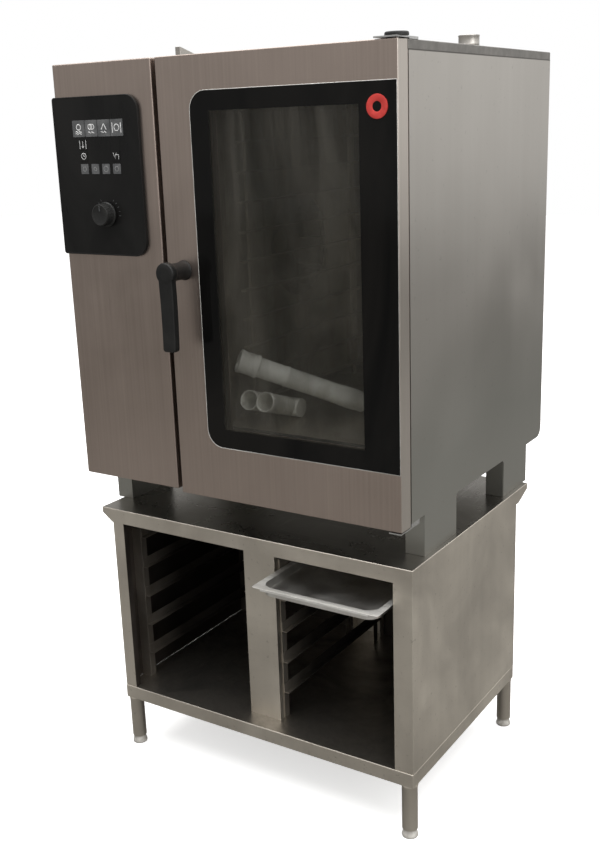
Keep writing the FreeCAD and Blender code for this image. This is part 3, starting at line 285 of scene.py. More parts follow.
def panel_foil():
    """The control panel's satin black foil, faintly wiped."""
    finish, tree = new_finish("panel foil")
    wipe = cloudy(tree, (6, 6, 2.5), 1.0, 4.0, 0.6, 1.2)
    skin = cloudy(tree, EVEN, 300.0, 2.0)
    base = colours(tree, wipe, [(0.35, (0.007, 0.007, 0.007)), (0.75, (0.014, 0.0135, 0.013))])
    return coated(finish, base, ramp(tree, wipe, 0.3, 0.7, 0.22, 0.40),
                  {"Specular IOR Level": 0.18}, (skin, 0.06, 0.0003))


# The grey ground of a lit touch field, uneven where the light behind it is.
KEY_TILE = one_noise("key tile", EVEN, (40.0, 2.0),
                     [(0.35, (0.075, 0.077, 0.080)), (0.7, (0.135, 0.137, 0.140))], (0.3, 0.7, 0.3, 0.4))


def key_print(name, dim, bright):
    """The pale print of the pictograms, a little uneven."""
    return one_noise(name, EVEN, (120.0, 3.0), [(0.3, (dim,) * 3), (0.6, (bright,) * 3)], 0.45)


# The pane's black printed border under gloss glass.
PANE_BORDER = one_noise("pane border", (5, 5, 1.5), (1.0, 4.0, 0.6, 1.0),
                        [(0.35, (0.004, 0.004, 0.004)), (0.8, (0.012, 0.011, 0.010))],
                        (0.35, 0.75, 0.05, 0.16), {"Specular IOR Level": 0.12})


def tinted_pane(name, tint, least, most):
    """Glass that is part clear: a tinted, smeared pane whose cover varies with the haze."""
    finish, tree = new_finish(name)
    smear = cloudy(tree, (7, 7, 1.4), 1.0, 5.0, 0.62, 1.6)
    base = colours(tree, smear, [(0.35, tint), (0.8, tuple(c * 2.5 + 0.01 for c in tint))])
    return coated(finish, base, ramp(tree, smear, 0.35, 0.75, 0.03, 0.14),
                  {"Alpha": ramp(tree, smear, 0.35, 0.75, least, most)})


# Plain red enamel.
BADGE_RED = one_noise("badge red", EVEN, (60.0, 2.0),
                      [(0.3, (0.50, 0.035, 0.03)), (0.7, (0.66, 0.06, 0.05))], 0.3)

# Black silicone with a dusty bloom.
SEAL_RUBBER = moulded_black("seal rubber", 0.018, 0.62, 500.0)


def foot_plastic():
    """Pale moulded feet, greyed by dirt towards the floor."""
    finish, tree = new_finish("foot plastic")
    dirt = cloudy(tree, EVEN, 45.0, 5.0, 0.6, 0.5)
    low = ramp(tree, place_along(tree, "Z"), 0.0, 0.012, 0.25, 0.0)
    base = colours(tree, dirt, [(0.3, (0.30, 0.28, 0.25)), (0.65, (0.66, 0.64, 0.60))])
    base = mixed(tree, low, base, (0.25, 0.22, 0.18))
    return coated(finish, base, ramp(tree, dirt, 0.3, 0.7, 0.5, 0.7), bump=(dirt, 0.2, 0.0006))


# Grey waste pipe, dusty and slightly glossy.
PIPE_GREY = one_noise("pipe grey", EVEN, (20.0, 5.0, 0.6, 0.8),
                      [(0.3, (0.56, 0.56, 0.50)), (0.7, (0.78, 0.78, 0.71))], (0.3, 0.7, 0.34, 0.5))

# A blank white sticker, curling and grubby.
PLAIN_LABEL = one_noise("plain label", EVEN, (70.0, 4.0),
                        [(0.3, (0.62, 0.61, 0.57)), (0.6, (0.84, 0.83, 0.80))], 0.6)

# Dull brown fibres round the chamber.
MINERAL_WOOL = one_noise("mineral wool", (300, 40, 300), (1.0, 4.0, 0.7, 2.0),
                         [(0.3, (0.17, 0.14, 0.085)), (0.7, (0.34, 0.29, 0.20))], 0.95, bump=(0.8, 0.002))

# Oxidised heating rod.
HEATER_ALLOY = one_noise("heater alloy", EVEN, (80.0, 4.0),
                         [(0.3, (0.10, 0.085, 0.075)), (0.7, (0.26, 0.22, 0.20))],
                         (0.3, 0.7, 0.5, 0.7), {"Metallic": 0.7})

# Dark grey paint over cast metal.
MOTOR_PAINT = moulded_black("motor paint", 0.035, 0.5, 200.0)

# Green solder mask with pale tracks.
CIRCUIT_GREEN = one_noise("circuit green", (60, 1, 220), (1.0, 2.0),
                          [(0.45, (0.02, 0.12, 0.05)), (0.6, (0.10, 0.30, 0.14))], 0.35)


def floor_paint():
    """The plain pale floor: near white to the eye, and dim in what the steel mirrors."""
    finish, tree = new_finish("floor paint")
    cloud = cloudy(tree, EVEN, 0.7, 2.0)
    seen = add_node(tree, "ShaderNodeLightPath").outputs["Is Camera Ray"]
    pale = colours(tree, cloud, [(0.3, (0.86, 0.86, 0.86)), (0.7, (0.90, 0.90, 0.90))])
    base = mixed(tree, seen, (0.20, 0.195, 0.185), pale)
    glow = worked(tree, "MULTIPLY", seen, 0.55)
    return coated(finish, base, 0.8, {"Emission Color": (1, 1, 1, 1), "Emission Strength": glow})


CASING_STEEL = casing_steel()
STAND_STEEL = stand_steel()
# Bays and runners: their dark tones and their darkening with depth are painted shade.
BAY_STEEL = bay_steel("bay steel", (0.05, 0.042, 0.036), (0.16, 0.14, 0.125))
RUNNER_STEEL = bay_steel("runner steel", (0.24, 0.215, 0.185), (0.50, 0.46, 0.41))
WORKTOP_STEEL = worktop_steel()
GRIP_BLACK = moulded_black("grip black", 0.009, 0.40, 900.0)
DIAL_BLACK = moulded_black("dial black", 0.014, 0.36, 900.0)
CAP_BLACK = moulded_black("cap black", 0.014, 0.48, 900.0)
PANEL_FOIL = panel_foil()
KEY_MARK = key_print("key mark", 0.45, 0.75)
KEY_FAINT = key_print("key faint", 0.20, 0.28)
PANE_CLEAR = tinted_pane("pane clear", (0.042, 0.039, 0.032), 0.12, 0.38)
INNER_PANE = tinted_pane("inner pane", (0.05, 0.052, 0.045), 0.05, 0.12)
FOOT_PLASTIC = foot_plastic()


# ---- modelling helpers
def leave_all():
    """Nothing is selected."""
    bpy.ops.object.select_all(action="DESELECT")


def pick(piece):
    """Only this piece is selected and active."""
    leave_all()
    piece.hide_set(False)
    piece.select_set(True)
    bpy.context.view_layer.objects.active = piece


def settle(piece):
    """The piece's place, turn and size go into its mesh."""
    pick(piece)
    bpy.ops.object.transform_apply(location=True, rotation=True, scale=True)


def open_block(low, high):
    """A block between two corners, ready to be shaped."""
    leave_all()
    middle = (Vector(low) + Vector(high)) / 2
    bpy.ops.mesh.primitive_cube_add(size=1, location=middle)
    piece = bpy.context.active_object
    piece.scale = Vector(high) - Vector(low)
    settle(piece)
    return piece


def open_round(radius, depth, middle, sides=48, turn=(0, 0, 0)):
    """A round bar about an axis, ready to be shaped."""
    leave_all()
    bpy.ops.mesh.primitive_cylinder_add(vertices=sides, radius=radius, depth=depth,
                                        location=middle, rotation=turn)
    piece = bpy.context.active_object
    settle(piece)
    return piece


def edit(piece, mode, faces=None, edges=None):
    """Edit mode with the faces or edges selected that a test accepts."""
    pick(piece)
    mesh = piece.data
    bpy.ops.object.mode_set(mode="EDIT")
    bpy.ops.mesh.select_mode(type=mode)
    bpy.ops.mesh.select_all(action="DESELECT")
    bpy.ops.object.mode_set(mode="OBJECT")
    if faces:
        for face in mesh.polygons:
            face.select = faces(face.center, face.normal)
    if edges:
        for edge in mesh.edges:
            a, b = (mesh.vertices[i].co for i in edge.vertices)
            edge.select = edges(a, b)
    bpy.ops.object.mode_set(mode="EDIT")


def edit_all(piece):
    """Edit mode with the whole piece selected."""
    pick(piece)
    bpy.ops.object.mode_set(mode="EDIT")
    bpy.ops.mesh.select_mode(type="VERT")
    bpy.ops.mesh.select_all(action="SELECT")


def done():
    """Back to object mode."""
    bpy.ops.object.mode_set(mode="OBJECT")


def near(value, target, slack=0.0002):
    """True if a number is close to another."""
    return abs(value - target) < slack


def all_near(a, b, axis, target, slack=0.0002):
    """True if both ends of an edge lie at a place along an axis."""
    return near(a[axis], target, slack) and near(b[axis], target, slack)


def bevel_edges(piece, test, width, segments=3):
    """Rounds the edges that a test accepts."""
    edit(piece, "EDGE", edges=test)
    bpy.ops.mesh.bevel(offset=width, segments=segments, affect="EDGES", clamp_overlap=True)
    done()


def apply_modifier(piece, kind, **settings):
    """One modifier, applied."""
    pick(piece)
    modifier = piece.modifiers.new(kind.title(), kind)
    for key, value in settings.items():
        setattr(modifier, key, value)
    bpy.ops.object.modifier_apply(modifier=modifier.name)


def eased(piece, width, segments, degrees):
    """The edges sharper than an angle, rounded."""
    apply_modifier(piece, "BEVEL", width=width, segments=segments, limit_method="ANGLE",
                   angle_limit=math.radians(degrees))


def smooth(piece, degrees=35):
    """Smooth shading up to an angle."""
    pick(piece)
    bpy.ops.object.shade_smooth_by_angle(angle=math.radians(degrees))


def joined(pieces):
    """Several pieces made one."""
    leave_all()
    for piece in pieces:
        piece.select_set(True)
    bpy.context.view_layer.objects.active = pieces[0]
    bpy.ops.object.join()
    return pieces[0]


def in_scene(name, data):
    """A new object in the scene."""
    made = bpy.data.objects.new(name, data)
    bpy.context.scene.collection.objects.link(made)
    return made


def spun(profile, middle, axis="Z", sides=48):
    """A turned shape: points of (radius, height) spun about an axis through a place."""
    mesh = bpy.data.meshes.new("profile")
    mesh.from_pydata([(r, 0, h) for r, h in profile], [(i, i + 1) for i in range(len(profile) - 1)], [])
    piece = in_scene("turned", mesh)
    edit_all(piece)
    bpy.ops.mesh.spin(steps=sides, angle=2 * math.pi, center=(0, 0, 0), axis=(0, 0, 1))
    done()
    edit_all(piece)
    bpy.ops.mesh.remove_doubles(threshold=DOUBLES)
    bpy.ops.mesh.normals_make_consistent(inside=False)
    done()
    turns = {"Z": Matrix.Identity(3), "-Y": Matrix.Rotation(math.radians(90), 3, "X")}
    turn = turns[axis] if isinstance(axis, str) else axis
    piece.data.transform(Matrix.Translation(Vector(middle)) @ turn.to_4x4())
    return piece


def finish_piece(piece, name, body, material, replaces=()):
    """Names a piece, gives it its finish and hangs it on its body."""
    piece.name = name
    piece.data.name = name
    piece.data.materials.clear()
    piece.data.materials.append(material)
    if replaces:
        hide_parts(*replaces)
    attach(piece, body)
    return piece


def merged_copy(node):
    """A copy of a CAD node with its loose triangles merged into clean faces."""
    piece = NODES[node].copy()
    piece.data = NODES[node].data.copy()
    piece.parent = None
    for key in list(piece.keys()):
        del piece[key]
    bpy.context.scene.collection.objects.link(piece)
    edit_all(piece)
    bpy.ops.mesh.remove_doubles(threshold=DOUBLES)
    bpy.ops.mesh.tris_convert_to_quads(face_threshold=math.radians(1), shape_threshold=math.radians(180))
    done()
    return piece


def sheet_piece(node, body, material, width, outer=None):
    """A folded sheet part with its sharp edges eased and, where asked, its outer folds rounded."""
    piece = merged_copy(node)
    if outer:
        bevel_edges(piece, outer, width, 3)
    eased(piece, min(width, 0.0007), 2, 50)
    return finish_piece(piece, node + "_sheet", body, material, (node,))


def folds_of(node, sides):
    """A test for the edges of a node's box that join two of the named sides."""
    low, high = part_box(node)
    limits = {"left": (0, low.x), "right": (0, high.x), "front": (1, low.y), "back": (1, high.y),
              "bottom": (2, low.z), "top": (2, high.z)}

    def test(a, b):
        touching = [s for s in sides if all_near(a, b, *limits[s])]
        return len(touching) >= 2
    return test


# ---- oven casing
def casing():
    """Fascia, side sheets, roof, rear panel, base and front frame."""
    all_sides = ("left", "right", "front", "bottom", "top")
    sheet_piece("fascia", "cabinet", FRONT_STEEL, 0.0028, outer=folds_of("fascia", all_sides))
    for side in ("left", "right"):
        sheet_piece("side_panel_" + side, "cabinet", CASING_STEEL, 0.0007)
    sheet_piece("roof", "cabinet", ROOF_STEEL, 0.002,
                outer=folds_of("roof", ("left", "right", "front", "back", "top")))
    sheet_piece("rear_panel", "cabinet", CASING_STEEL, 0.0007)
    sheet_piece("chassis", "cabinet", CASING_STEEL, 0.0007)
    sheet_piece("front_frame", "cabinet", FRONT_STEEL, 0.0007)


def vent_stub():
    """The open steam outlet, with a rolled lip and a seam collar at the roof."""
    low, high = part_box("vent_stub")
    radius = (high.x - low.x) / 2
    middle = Vector(((low.x + high.x) / 2, (low.y + high.y) / 2, 0))
    wall = 1.5 * MM
    piece = spun([
        (radius - wall, low.z), (radius, low.z), (radius, low.z + 3 * MM),
        (radius + 0.3 * MM, low.z + 3.4 * MM), (radius, low.z + 4.2 * MM), (radius, high.z - 3.5 * MM),
        (radius + 0.6 * MM, high.z - 2.4 * MM), (radius + 0.5 * MM, high.z - 0.6 * MM),
        (radius - 0.8 * MM, high.z), (radius - wall, high.z - 0.8 * MM), (radius - wall, low.z),
    ], middle, sides=56)
    smooth(piece, 40)
    finish_piece(piece, "vent_stub_pipe", "cabinet", CASING_STEEL, ("vent_stub",))


def vent_hood():
    """The small folded air intake on the roof."""
    piece = merged_copy("vent_hood")
    eased(piece, 0.0015, 3, 30)
    finish_piece(piece, "vent_hood_folded", "cabinet", CASING_STEEL, ("vent_hood",))


def copy_at(piece, place):
    """A copy of a piece with its own mesh, moved to a place."""
    twin = piece.copy()
    twin.data = piece.data.copy()
    bpy.context.scene.collection.objects.link(twin)
    twin.data.transform(Matrix.Translation(place))
    return twin


def rear_fittings():
    """Pressed air louvres and pan-head screws on the rear panel."""
    low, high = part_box("rear_panel")
    louvre = open_block((-45 * MM, 0, -6 * MM), (45 * MM, 4.5 * MM, 6 * MM))
    for vertex in louvre.data.vertices:
        if vertex.co.z > 0 and vertex.co.y > 1 * MM:
            vertex.co.y = 0.6 * MM
            vertex.co.x *= 0.96
    eased(louvre, 1.6 * MM, 3, 20)
    smooth(louvre, 35)
    middle_x = (low.x + high.x) / 2
    rows = []
    for column in (-1.5, -0.5, 0.5, 1.5):
        for row in range(7):
            rows.append(copy_at(louvre, (middle_x + column * 118 * MM, high.y - 0.2 * MM,
                                         high.z - (90 + row * 24) * MM)))
    bpy.data.objects.remove(louvre)
    finish_piece(joined(rows), "rear_louvres", "cabinet", CASING_STEEL)
    head = 4.2 * MM
    screw = spun([
        (0, -0.5 * MM), (head, -0.5 * MM), (head, 0.5 * MM), (3.4 * MM, 1.8 * MM), (1.8 * MM, 2.3 * MM),
        (1.2 * MM, 1.1 * MM), (0, 1.1 * MM),
    ], (0, 0, 0), Matrix.Rotation(math.radians(-90), 3, "X"), 20)
    smooth(screw, 40)
    heads = []
    for x in (low.x + 14 * MM, high.x - 14 * MM):
        for step in range(6):
            z = low.z + 20 * MM + (high.z - low.z - 40 * MM) * step / 5
            heads.append(copy_at(screw, (x, high.y, z)))
    bpy.data.objects.remove(screw)
    finish_piece(joined(heads), "rear_screws", "cabinet", MACHINED_STEEL)


# ---- control panel
PANEL_CORNERS = ((-1, 7 * MM), (1, 34 * MM))


def control_panel():
    """The black panel: corners rounder on the right, an eased front edge and a sunk foil."""
    low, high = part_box("control_panel")
    piece = open_block(low, high)
    for side, corner in PANEL_CORNERS:
        at = low.x if side < 0 else high.x
        bevel_edges(piece, lambda a, b: near(a.x, at) and near(b.x, at) and near(a.z, b.z), corner, 10)
    edit(piece, "FACE", faces=lambda at, way: way.y < -0.9)
    bpy.ops.mesh.inset(thickness=2.2 * MM, depth=0)
    bpy.ops.mesh.inset(thickness=0.8 * MM, depth=-0.5 * MM)
    done()
    bevel_edges(piece, lambda a, b: all_near(a, b, 1, low.y)
                and outline_far(a, b, low, high, 1.2 * MM), 1.4 * MM, 3)
    smooth(piece, 30)
    finish_piece(piece, "control_panel_cover", "cabinet", PANEL_FOIL, ("control_panel",))


def outline_far(a, b, low, high, slack):
    """True for the outermost edges of a plate's front, its rounded corners among them."""
    def outer(at):
        side = min(at.x - low.x, high.x - at.x, at.z - low.z, high.z - at.z)
        if side < slack:
            return True
        for way, radius in PANEL_CORNERS:
            dx = way * at.x - (high.x if way > 0 else -low.x) + radius
            dz = max(low.z + radius - at.z, at.z - high.z + radius)
            if dx > 0 and dz > 0 and math.hypot(dx, dz) > radius - slack:
                return True
        return False
    return outer(a) and outer(b)


def flat_stroke(points, width, closed, y):
    """A thin raised line through points on the panel's front, made a mesh."""
    curve = bpy.data.curves.new("stroke", "CURVE")
    curve.dimensions = "3D"
    curve.bevel_depth = width / 2
    curve.bevel_resolution = 1
    line = curve.splines.new("POLY")
    line.points.add(len(points) - 1)
    for mark, (x, z) in zip(line.points, points):
        mark.co = (x, 0, z, 1)
    line.use_cyclic_u = closed
    piece = in_scene("stroke", curve)
    pick(piece)
    bpy.ops.object.convert(target="MESH")
    piece = bpy.context.active_object
    squash = Matrix.Diagonal((1, 0.25, 1, 1))
    piece.data.transform(Matrix.Translation((0, y, 0)) @ squash)
    return piece


def ring(x, z, radius, count=20):
    """Points round a circle."""
    steps = [2 * math.pi * i / count for i in range(count)]
    return [(x + radius * math.cos(t), z + radius * math.sin(t)) for t in steps]


def wave(z, length, swing, count=9):
    """Points along a short wave."""
    return [(length * (i / (count - 1) - 0.5), z + swing * math.sin(i * math.pi / 2)) for i in range(count)]


# The strokes of the plain cooking pictograms, as (points, closed), for a touch field one unit wide.
PICTOGRAMS = {
    "steam": [(ring(0, 0.08, 0.17), True), (wave(-0.20, 0.5, 0.03), False), (wave(-0.31, 0.5, 0.03), False)],
    "both": [(ring(-0.09, 0.08, 0.15), True), (ring(0.09, 0.08, 0.15), True),
             (wave(-0.25, 0.5, 0.04), False)],
    "hot air": [([(-0.2, -0.1), (0, 0.26), (0.2, -0.1)], False), (wave(-0.25, 0.44, 0.04), False)],
    "plate": [(ring(0, 0, 0.19), True), ([(-0.34, -0.3), (-0.34, 0.3)], False),
              ([(0.34, -0.3), (0.34, 0.3)], False)],
    "warmth": [([(0, 0.34), (0, -0.30)], False), ([(-0.14, -0.12), (0, -0.32), (0.14, -0.12)], False),
               ([(-0.42, 0.42), (-0.42, -0.42)], False), ([(0.42, 0.42), (0.42, -0.42)], False)],
    "time": [(ring(0, 0, 0.3), True), ([(0, 0.18), (0, 0), (0.14, 0)], False)],
    "probe": [([(-0.36, 0.32), (-0.1, -0.3), (0.05, 0.3)], False),
              ([(-0.1, 0.1), (0.36, 0.1), (0.36, -0.34)], False)],
    "book": [(ring(0, 0, 0.24, 6), True)],
    "fan": [(ring(0, 0, 0.3, 6), True)],
    "drop": [(ring(0, 0, 0.2, 6), True)],
    "flag": [(ring(0, 0, 0.26, 6), True)],
}


def touch_fields():
    """The touch fields: thin tiles with plain pictograms printed on them."""
    low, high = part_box("control_keys")
    panel_low, panel_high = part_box("control_panel")
    field, key = 36 * MM, 22 * MM
    left = panel_low.x
    top = panel_high.z
    small = 86 * MM
    step = key + 10 * MM
    layout = [(77 * MM + i * (field + 1.5 * MM), 69 * MM, field, kind)
              for i, kind in enumerate(("steam", "both", "hot air", "plate"))]
    layout += [(small + i * step, 157 * MM, key, kind)
               for i, kind in enumerate(("book", "drop", "fan", "flag"))]
    layout += [(small, 104 * MM, key, "warmth"), (small, 129 * MM, key, "time")]
    layout += [(small + 3 * step, 129 * MM, key, "probe")]
    tiles, grounds, lines, faint = [], [], [], []
    for x, drop, size, kind in layout:
        at_x, at_z = left + x, top - drop
        tile = open_block((at_x - size / 2, low.y, at_z - size / 2),
                          (at_x + size / 2, high.y + 0.6 * MM, at_z + size / 2))
        bevel_edges(tile, lambda a, b: near(a.x, b.x) and near(a.z, b.z), 1.2 * MM, 2)
        (grounds if kind in ("warmth", "time", "probe") else tiles).append(tile)
        for points, closed in PICTOGRAMS[kind]:
            points = [(at_x + across * size, at_z + up * size) for across, up in points]
            stroke = flat_stroke(points, size * 0.075, closed, low.y)
            (faint if kind in ("book", "drop", "fan", "flag") else lines).append(stroke)
    for pieces, name, finish, nodes in (
            (tiles, "touch_field_tiles", KEY_TILE, ("control_keys",)),
            (grounds, "touch_field_grounds", PANEL_FOIL, ()),
            (lines, "touch_field_marks", KEY_MARK, ()), (faint, "touch_key_marks", KEY_FAINT, ())):
        finish_piece(joined(pieces), name, "cabinet", finish, nodes)


def dial():
    """The knob: a fluted grip, an eased rim and a dished face with a pale pointer bar."""
    low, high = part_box("dial")
    radius = (high.x - low.x) / 2
    middle = Vector(((low.x + high.x) / 2, high.y, (low.z + high.z) / 2))
    length = high.y - low.y
    piece = spun([
        (4 * MM, 0), (radius - 1 * MM, 0), (radius, 1 * MM), (radius, 4 * MM), (radius - 1.6 * MM, 5.5 * MM),
        (radius - 2.6 * MM, length - 3.5 * MM), (radius - 3.6 * MM, length - 1.0 * MM),
        (radius - 5.4 * MM, length), (radius - 7.5 * MM, length - 0.9 * MM), (4 * MM, length - 2.2 * MM),
        (0, length - 2.3 * MM),
    ], (0, 0, 0), sides=96)
    for vertex in piece.data.vertices:
        reach = math.hypot(vertex.co.x, vertex.co.y)
        if radius - 4 * MM < reach < radius - 1.2 * MM and 5 * MM < vertex.co.z < length - 2 * MM:
            angle = math.atan2(vertex.co.y, vertex.co.x)
            bite = 1 - 0.35 * MM * (1 + math.cos(angle * 24)) / reach
            vertex.co.x *= bite
            vertex.co.y *= bite
    piece.data.transform(Matrix.Translation(middle) @ Matrix.Rotation(math.radians(90), 4, "X"))
    smooth(piece, 40)
    finish_piece(piece, "dial_knob", "dial", DIAL_BLACK, ("dial",))
    pointer = open_block((middle.x - 0.8 * MM, low.y - 0.1 * MM, middle.z + 8 * MM),
                         (middle.x + 0.8 * MM, low.y + 2.0 * MM, middle.z + radius - 6.5 * MM))
    bevel_edges(pointer, lambda a, b: all_near(a, b, 1, low.y - 0.1 * MM), 0.3 * MM, 2)
    finish_piece(pointer, "dial_pointer", "dial", KEY_TILE)


def dial_scale():
    """Faint plain ticks round the dial."""
    low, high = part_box("dial")
    panel_low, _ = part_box("control_panel")
    x, z = (low.x + high.x) / 2, (low.z + high.z) / 2
    ticks = []
    for step in range(-6, 7):
        if abs(step) < 2:
            continue
        angle = math.radians(90 + step * 16)
        a, b = 33 * MM, 37 * MM
        points = [(x + reach * math.cos(angle), z + reach * math.sin(angle)) for reach in (a, b)]
        ticks.append(flat_stroke(points, 1.1 * MM, False, panel_low.y))
    finish_piece(joined(ticks), "dial_scale_ticks", "cabinet", KEY_TILE)


# ---- door
def door_panels():
    """The door's folded skin and inner sheet."""
    sides = ("left", "right", "front", "bottom", "top")
    sheet_piece("door_shell", "door", FRONT_STEEL, 0.0026, outer=folds_of("door_shell", sides))
    sheet_piece("door_inner", "door", FRONT_STEEL, 0.0007)


def door_glass():
    """The outer pane, clear in its window and black round it, a thin bright stroke round it as a painted
    highlight, and the inner pane.
    """
    low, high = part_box("glass_outer")
    piece = open_block(low, high)
    left, right = low.x + 48 * MM, high.x - 82.5 * MM
    bottom, top = low.z + 43 * MM, high.z - 41 * MM
    for place, way in (((left, 0, 0), (1, 0, 0)), ((right, 0, 0), (1, 0, 0)),
                       ((0, 0, bottom), (0, 0, 1)), ((0, 0, top), (0, 0, 1))):
        edit_all(piece)
        bpy.ops.mesh.bisect(plane_co=place, plane_no=way)
        done()
    bevel_edges(piece, lambda a, b: near(a.z, b.z) and all_near(a, b, 0, low.x)
                and (near(a.z, low.z) or near(a.z, high.z)), 40 * MM, 12)
    eased(piece, 0.0006, 2, 60)
    finish_piece(piece, "door_pane", "door", PANE_BORDER, ("glass_outer",))
    piece.data.materials.append(PANE_CLEAR)
    for face in piece.data.polygons:
        at = face.center
        if abs(face.normal.y) > 0.9 and left < at.x < right and bottom < at.z < top:
            face.material_index = 1
    # Painted highlight: a thin bright stroke on the door skin round the pane's outline.
    line = [(low.x + 40 * MM * (1 - math.sin(t)), high.z - 40 * MM * (1 - math.cos(t)))
            for t in (math.radians(step * 9) for step in range(10, -1, -1))]
    below = [(x, low.z + high.z - z) for x, z in reversed(line)]
    outline = line + [(high.x, high.z), (high.x, low.z)] + below
    edge_highlight = flat_stroke(outline, 1.6 * MM, True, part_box("door_shell")[0].y - 0.1 * MM)
    finish_piece(edge_highlight, "pane_edge_painted_highlight", "door", RIM_STEEL)
    inner = open_block(*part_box("glass_inner"))
    bevel_edges(inner, lambda a, b: near(a.x, b.x) and near(a.z, b.z), 6 * MM, 5)
    eased(inner, 0.0006, 2, 60)
    finish_piece(inner, "inner_pane", "door", INNER_PANE, ("glass_inner",))


def badge():
    """A plain closed ring on the glass."""
    low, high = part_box("badge")
    radius = (high.x - low.x) / 2
    middle = ((low.x + high.x) / 2, high.y, (low.z + high.z) / 2)
    deep = high.y - low.y
    piece = spun([
        (radius * 0.42, 0), (radius - 0.3 * MM, 0), (radius, 0.4 * MM), (radius - 0.4 * MM, deep - 0.3 * MM),
        (radius - 1.4 * MM, deep), (radius * 0.42 + 1.2 * MM, deep), (radius * 0.42, deep - 0.6 * MM),
        (radius * 0.42, 0),
    ], middle, "-Y", 64)
    smooth(piece, 40)
    finish_piece(piece, "badge_ring", "door", BADGE_RED, ("badge",))
    core = spun([(0, 0), (radius * 0.42, 0), (radius * 0.42, deep * 0.3), (0, deep * 0.3)], middle, "-Y", 48)
    finish_piece(core, "badge_core", "door", PANE_BORDER)


def door_handle():
    """The lever: a round head and a tapered, slightly bowed grip on a thick hub."""
    low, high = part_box("handle_lever")
    x = (low.x + high.x) / 2
    head = (high.x - low.x) / 2
    hub_z = high.z - head
    thick = 18 * MM
    back = low.y + thick
    grip = open_block((x - 18.5 * MM, low.y, low.z), (x + 18.5 * MM, back, hub_z))
    for share in (0.15, 0.3, 0.5, 0.7, 0.85):
        edit_all(grip)
        bpy.ops.mesh.bisect(plane_co=(0, 0, low.z + (hub_z - low.z) * share), plane_no=(0, 0, 1))
        done()
    for vertex in grip.data.vertices:
        share = (hub_z - vertex.co.z) / (hub_z - low.z)
        vertex.co.x = x + (vertex.co.x - x) * (1 - 0.08 * share)
        vertex.co.y += 2.2 * MM * math.sin(math.pi * share)
    bevel_edges(grip, lambda a, b: near(a.z, b.z) and near(a.x, b.x) and near(a.z, low.z), 7 * MM, 5)
    edit(grip, "FACE", faces=lambda at, way: way.z > 0.9)
    bpy.ops.mesh.delete(type="FACE")
    done()
    eased(grip, 3.2 * MM, 4, 55)
    smooth(grip, 60)
    total = high.y - low.y
    hub = spun([
        (0, -0.2 * MM), (21.5 * MM, -0.2 * MM), (22 * MM, 1.2 * MM), (21 * MM, 3 * MM), (19.6 * MM, 8 * MM),
        (19 * MM, 24 * MM), (19.6 * MM, total - thick - 6 * MM), (head - 2 * MM, total - thick),
        (head - 0.4 * MM, total - thick + 2 * MM), (head, total - thick + 4 * MM), (head, total - 4 * MM),
        (head - 0.9 * MM, total - 1.6 * MM), (head - 3.2 * MM, total - 0.2 * MM), (head * 0.5, total),
        (0, total),
    ], (x, high.y, hub_z), "-Y", 64)
    smooth(hub, 40)
    piece = joined([grip, hub])
    finish_piece(piece, "door_lever", "door_handle", GRIP_BLACK, ("handle_lever",))


def hinge_parts():
    """The hinge plates and their black cap."""
    sheet_piece("hinge_plate_upper", "cabinet", MACHINED_STEEL, 0.0007)
    sheet_piece("hinge_plate_lower", "cabinet", MACHINED_STEEL, 0.0007)
    low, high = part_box("hinge_cap")
    radius = (high.x - low.x) / 2
    tall = high.z - low.z
    piece = spun([
        (0, 0), (radius, 0), (radius, tall * 0.55), (radius - 0.8 * MM, tall * 0.85),
        (radius - 2.4 * MM, tall),
        (radius * 0.35, tall), (radius * 0.3, tall - 0.8 * MM), (0, tall - 0.8 * MM),
    ], ((low.x + high.x) / 2, (low.y + high.y) / 2, low.z), sides=56)
    smooth(piece, 40)
    finish_piece(piece, "hinge_cap_cover", "cabinet", CAP_BLACK, ("hinge_cap",))


# ---- stand
def stand_sheets():
    """The worktop, the sides, the shelf and the middle uprights."""
    for node, worn in (("stand_top", WORKTOP_STEEL), ("stand_shelf", SHELF_STEEL)):
        sheet = sheet_piece(node, "cabinet", STAND_STEEL, 0.0024,
                            outer=folds_of(node, ("left", "right", "front", "back", "top")))
        other_finish(sheet, worn, lambda at, way: way.z > 0.9)
    for side in ("left", "right"):
        node = "stand_side_" + side
        outer = folds_of(node, (side, "front", "back"))
        sheet = sheet_piece(node, "cabinet", STAND_STEEL, 0.0018, outer=outer)
        inward = 1 if side == "left" else -1
        # Faces inside the bays take the bay steel and its painted shade.
        other_finish(sheet, BAY_STEEL, lambda at, way: way.x * inward > 0.9 or (way.y > 0.9 and at.y < 0))
    for end in ("front", "rear"):
        node = "stand_post_" + end
        sheet_piece(node, "cabinet", STAND_STEEL, 0.0014,
                    outer=folds_of(node, ("left", "right", "front", "back")))
    for bay in ("left_outer", "left_inner", "right_inner", "right_outer"):
        sheet_piece("runners_" + bay, "cabinet", RUNNER_STEEL, 0.0004)
    # The back sheet's front takes the bay steel and its painted shade.
    sheet = sheet_piece("stand_back_sheet", "cabinet", BAY_STEEL, 0.0004)
    other_finish(sheet, STAND_STEEL, lambda at, way: way.y > 0.9)


def other_finish(sheet, finish, test):
    """The chosen faces of a sheet get another finish."""
    sheet.data.materials.append(finish)
    for face in sheet.data.polygons:
        if test(face.center, face.normal):
            face.material_index = 1


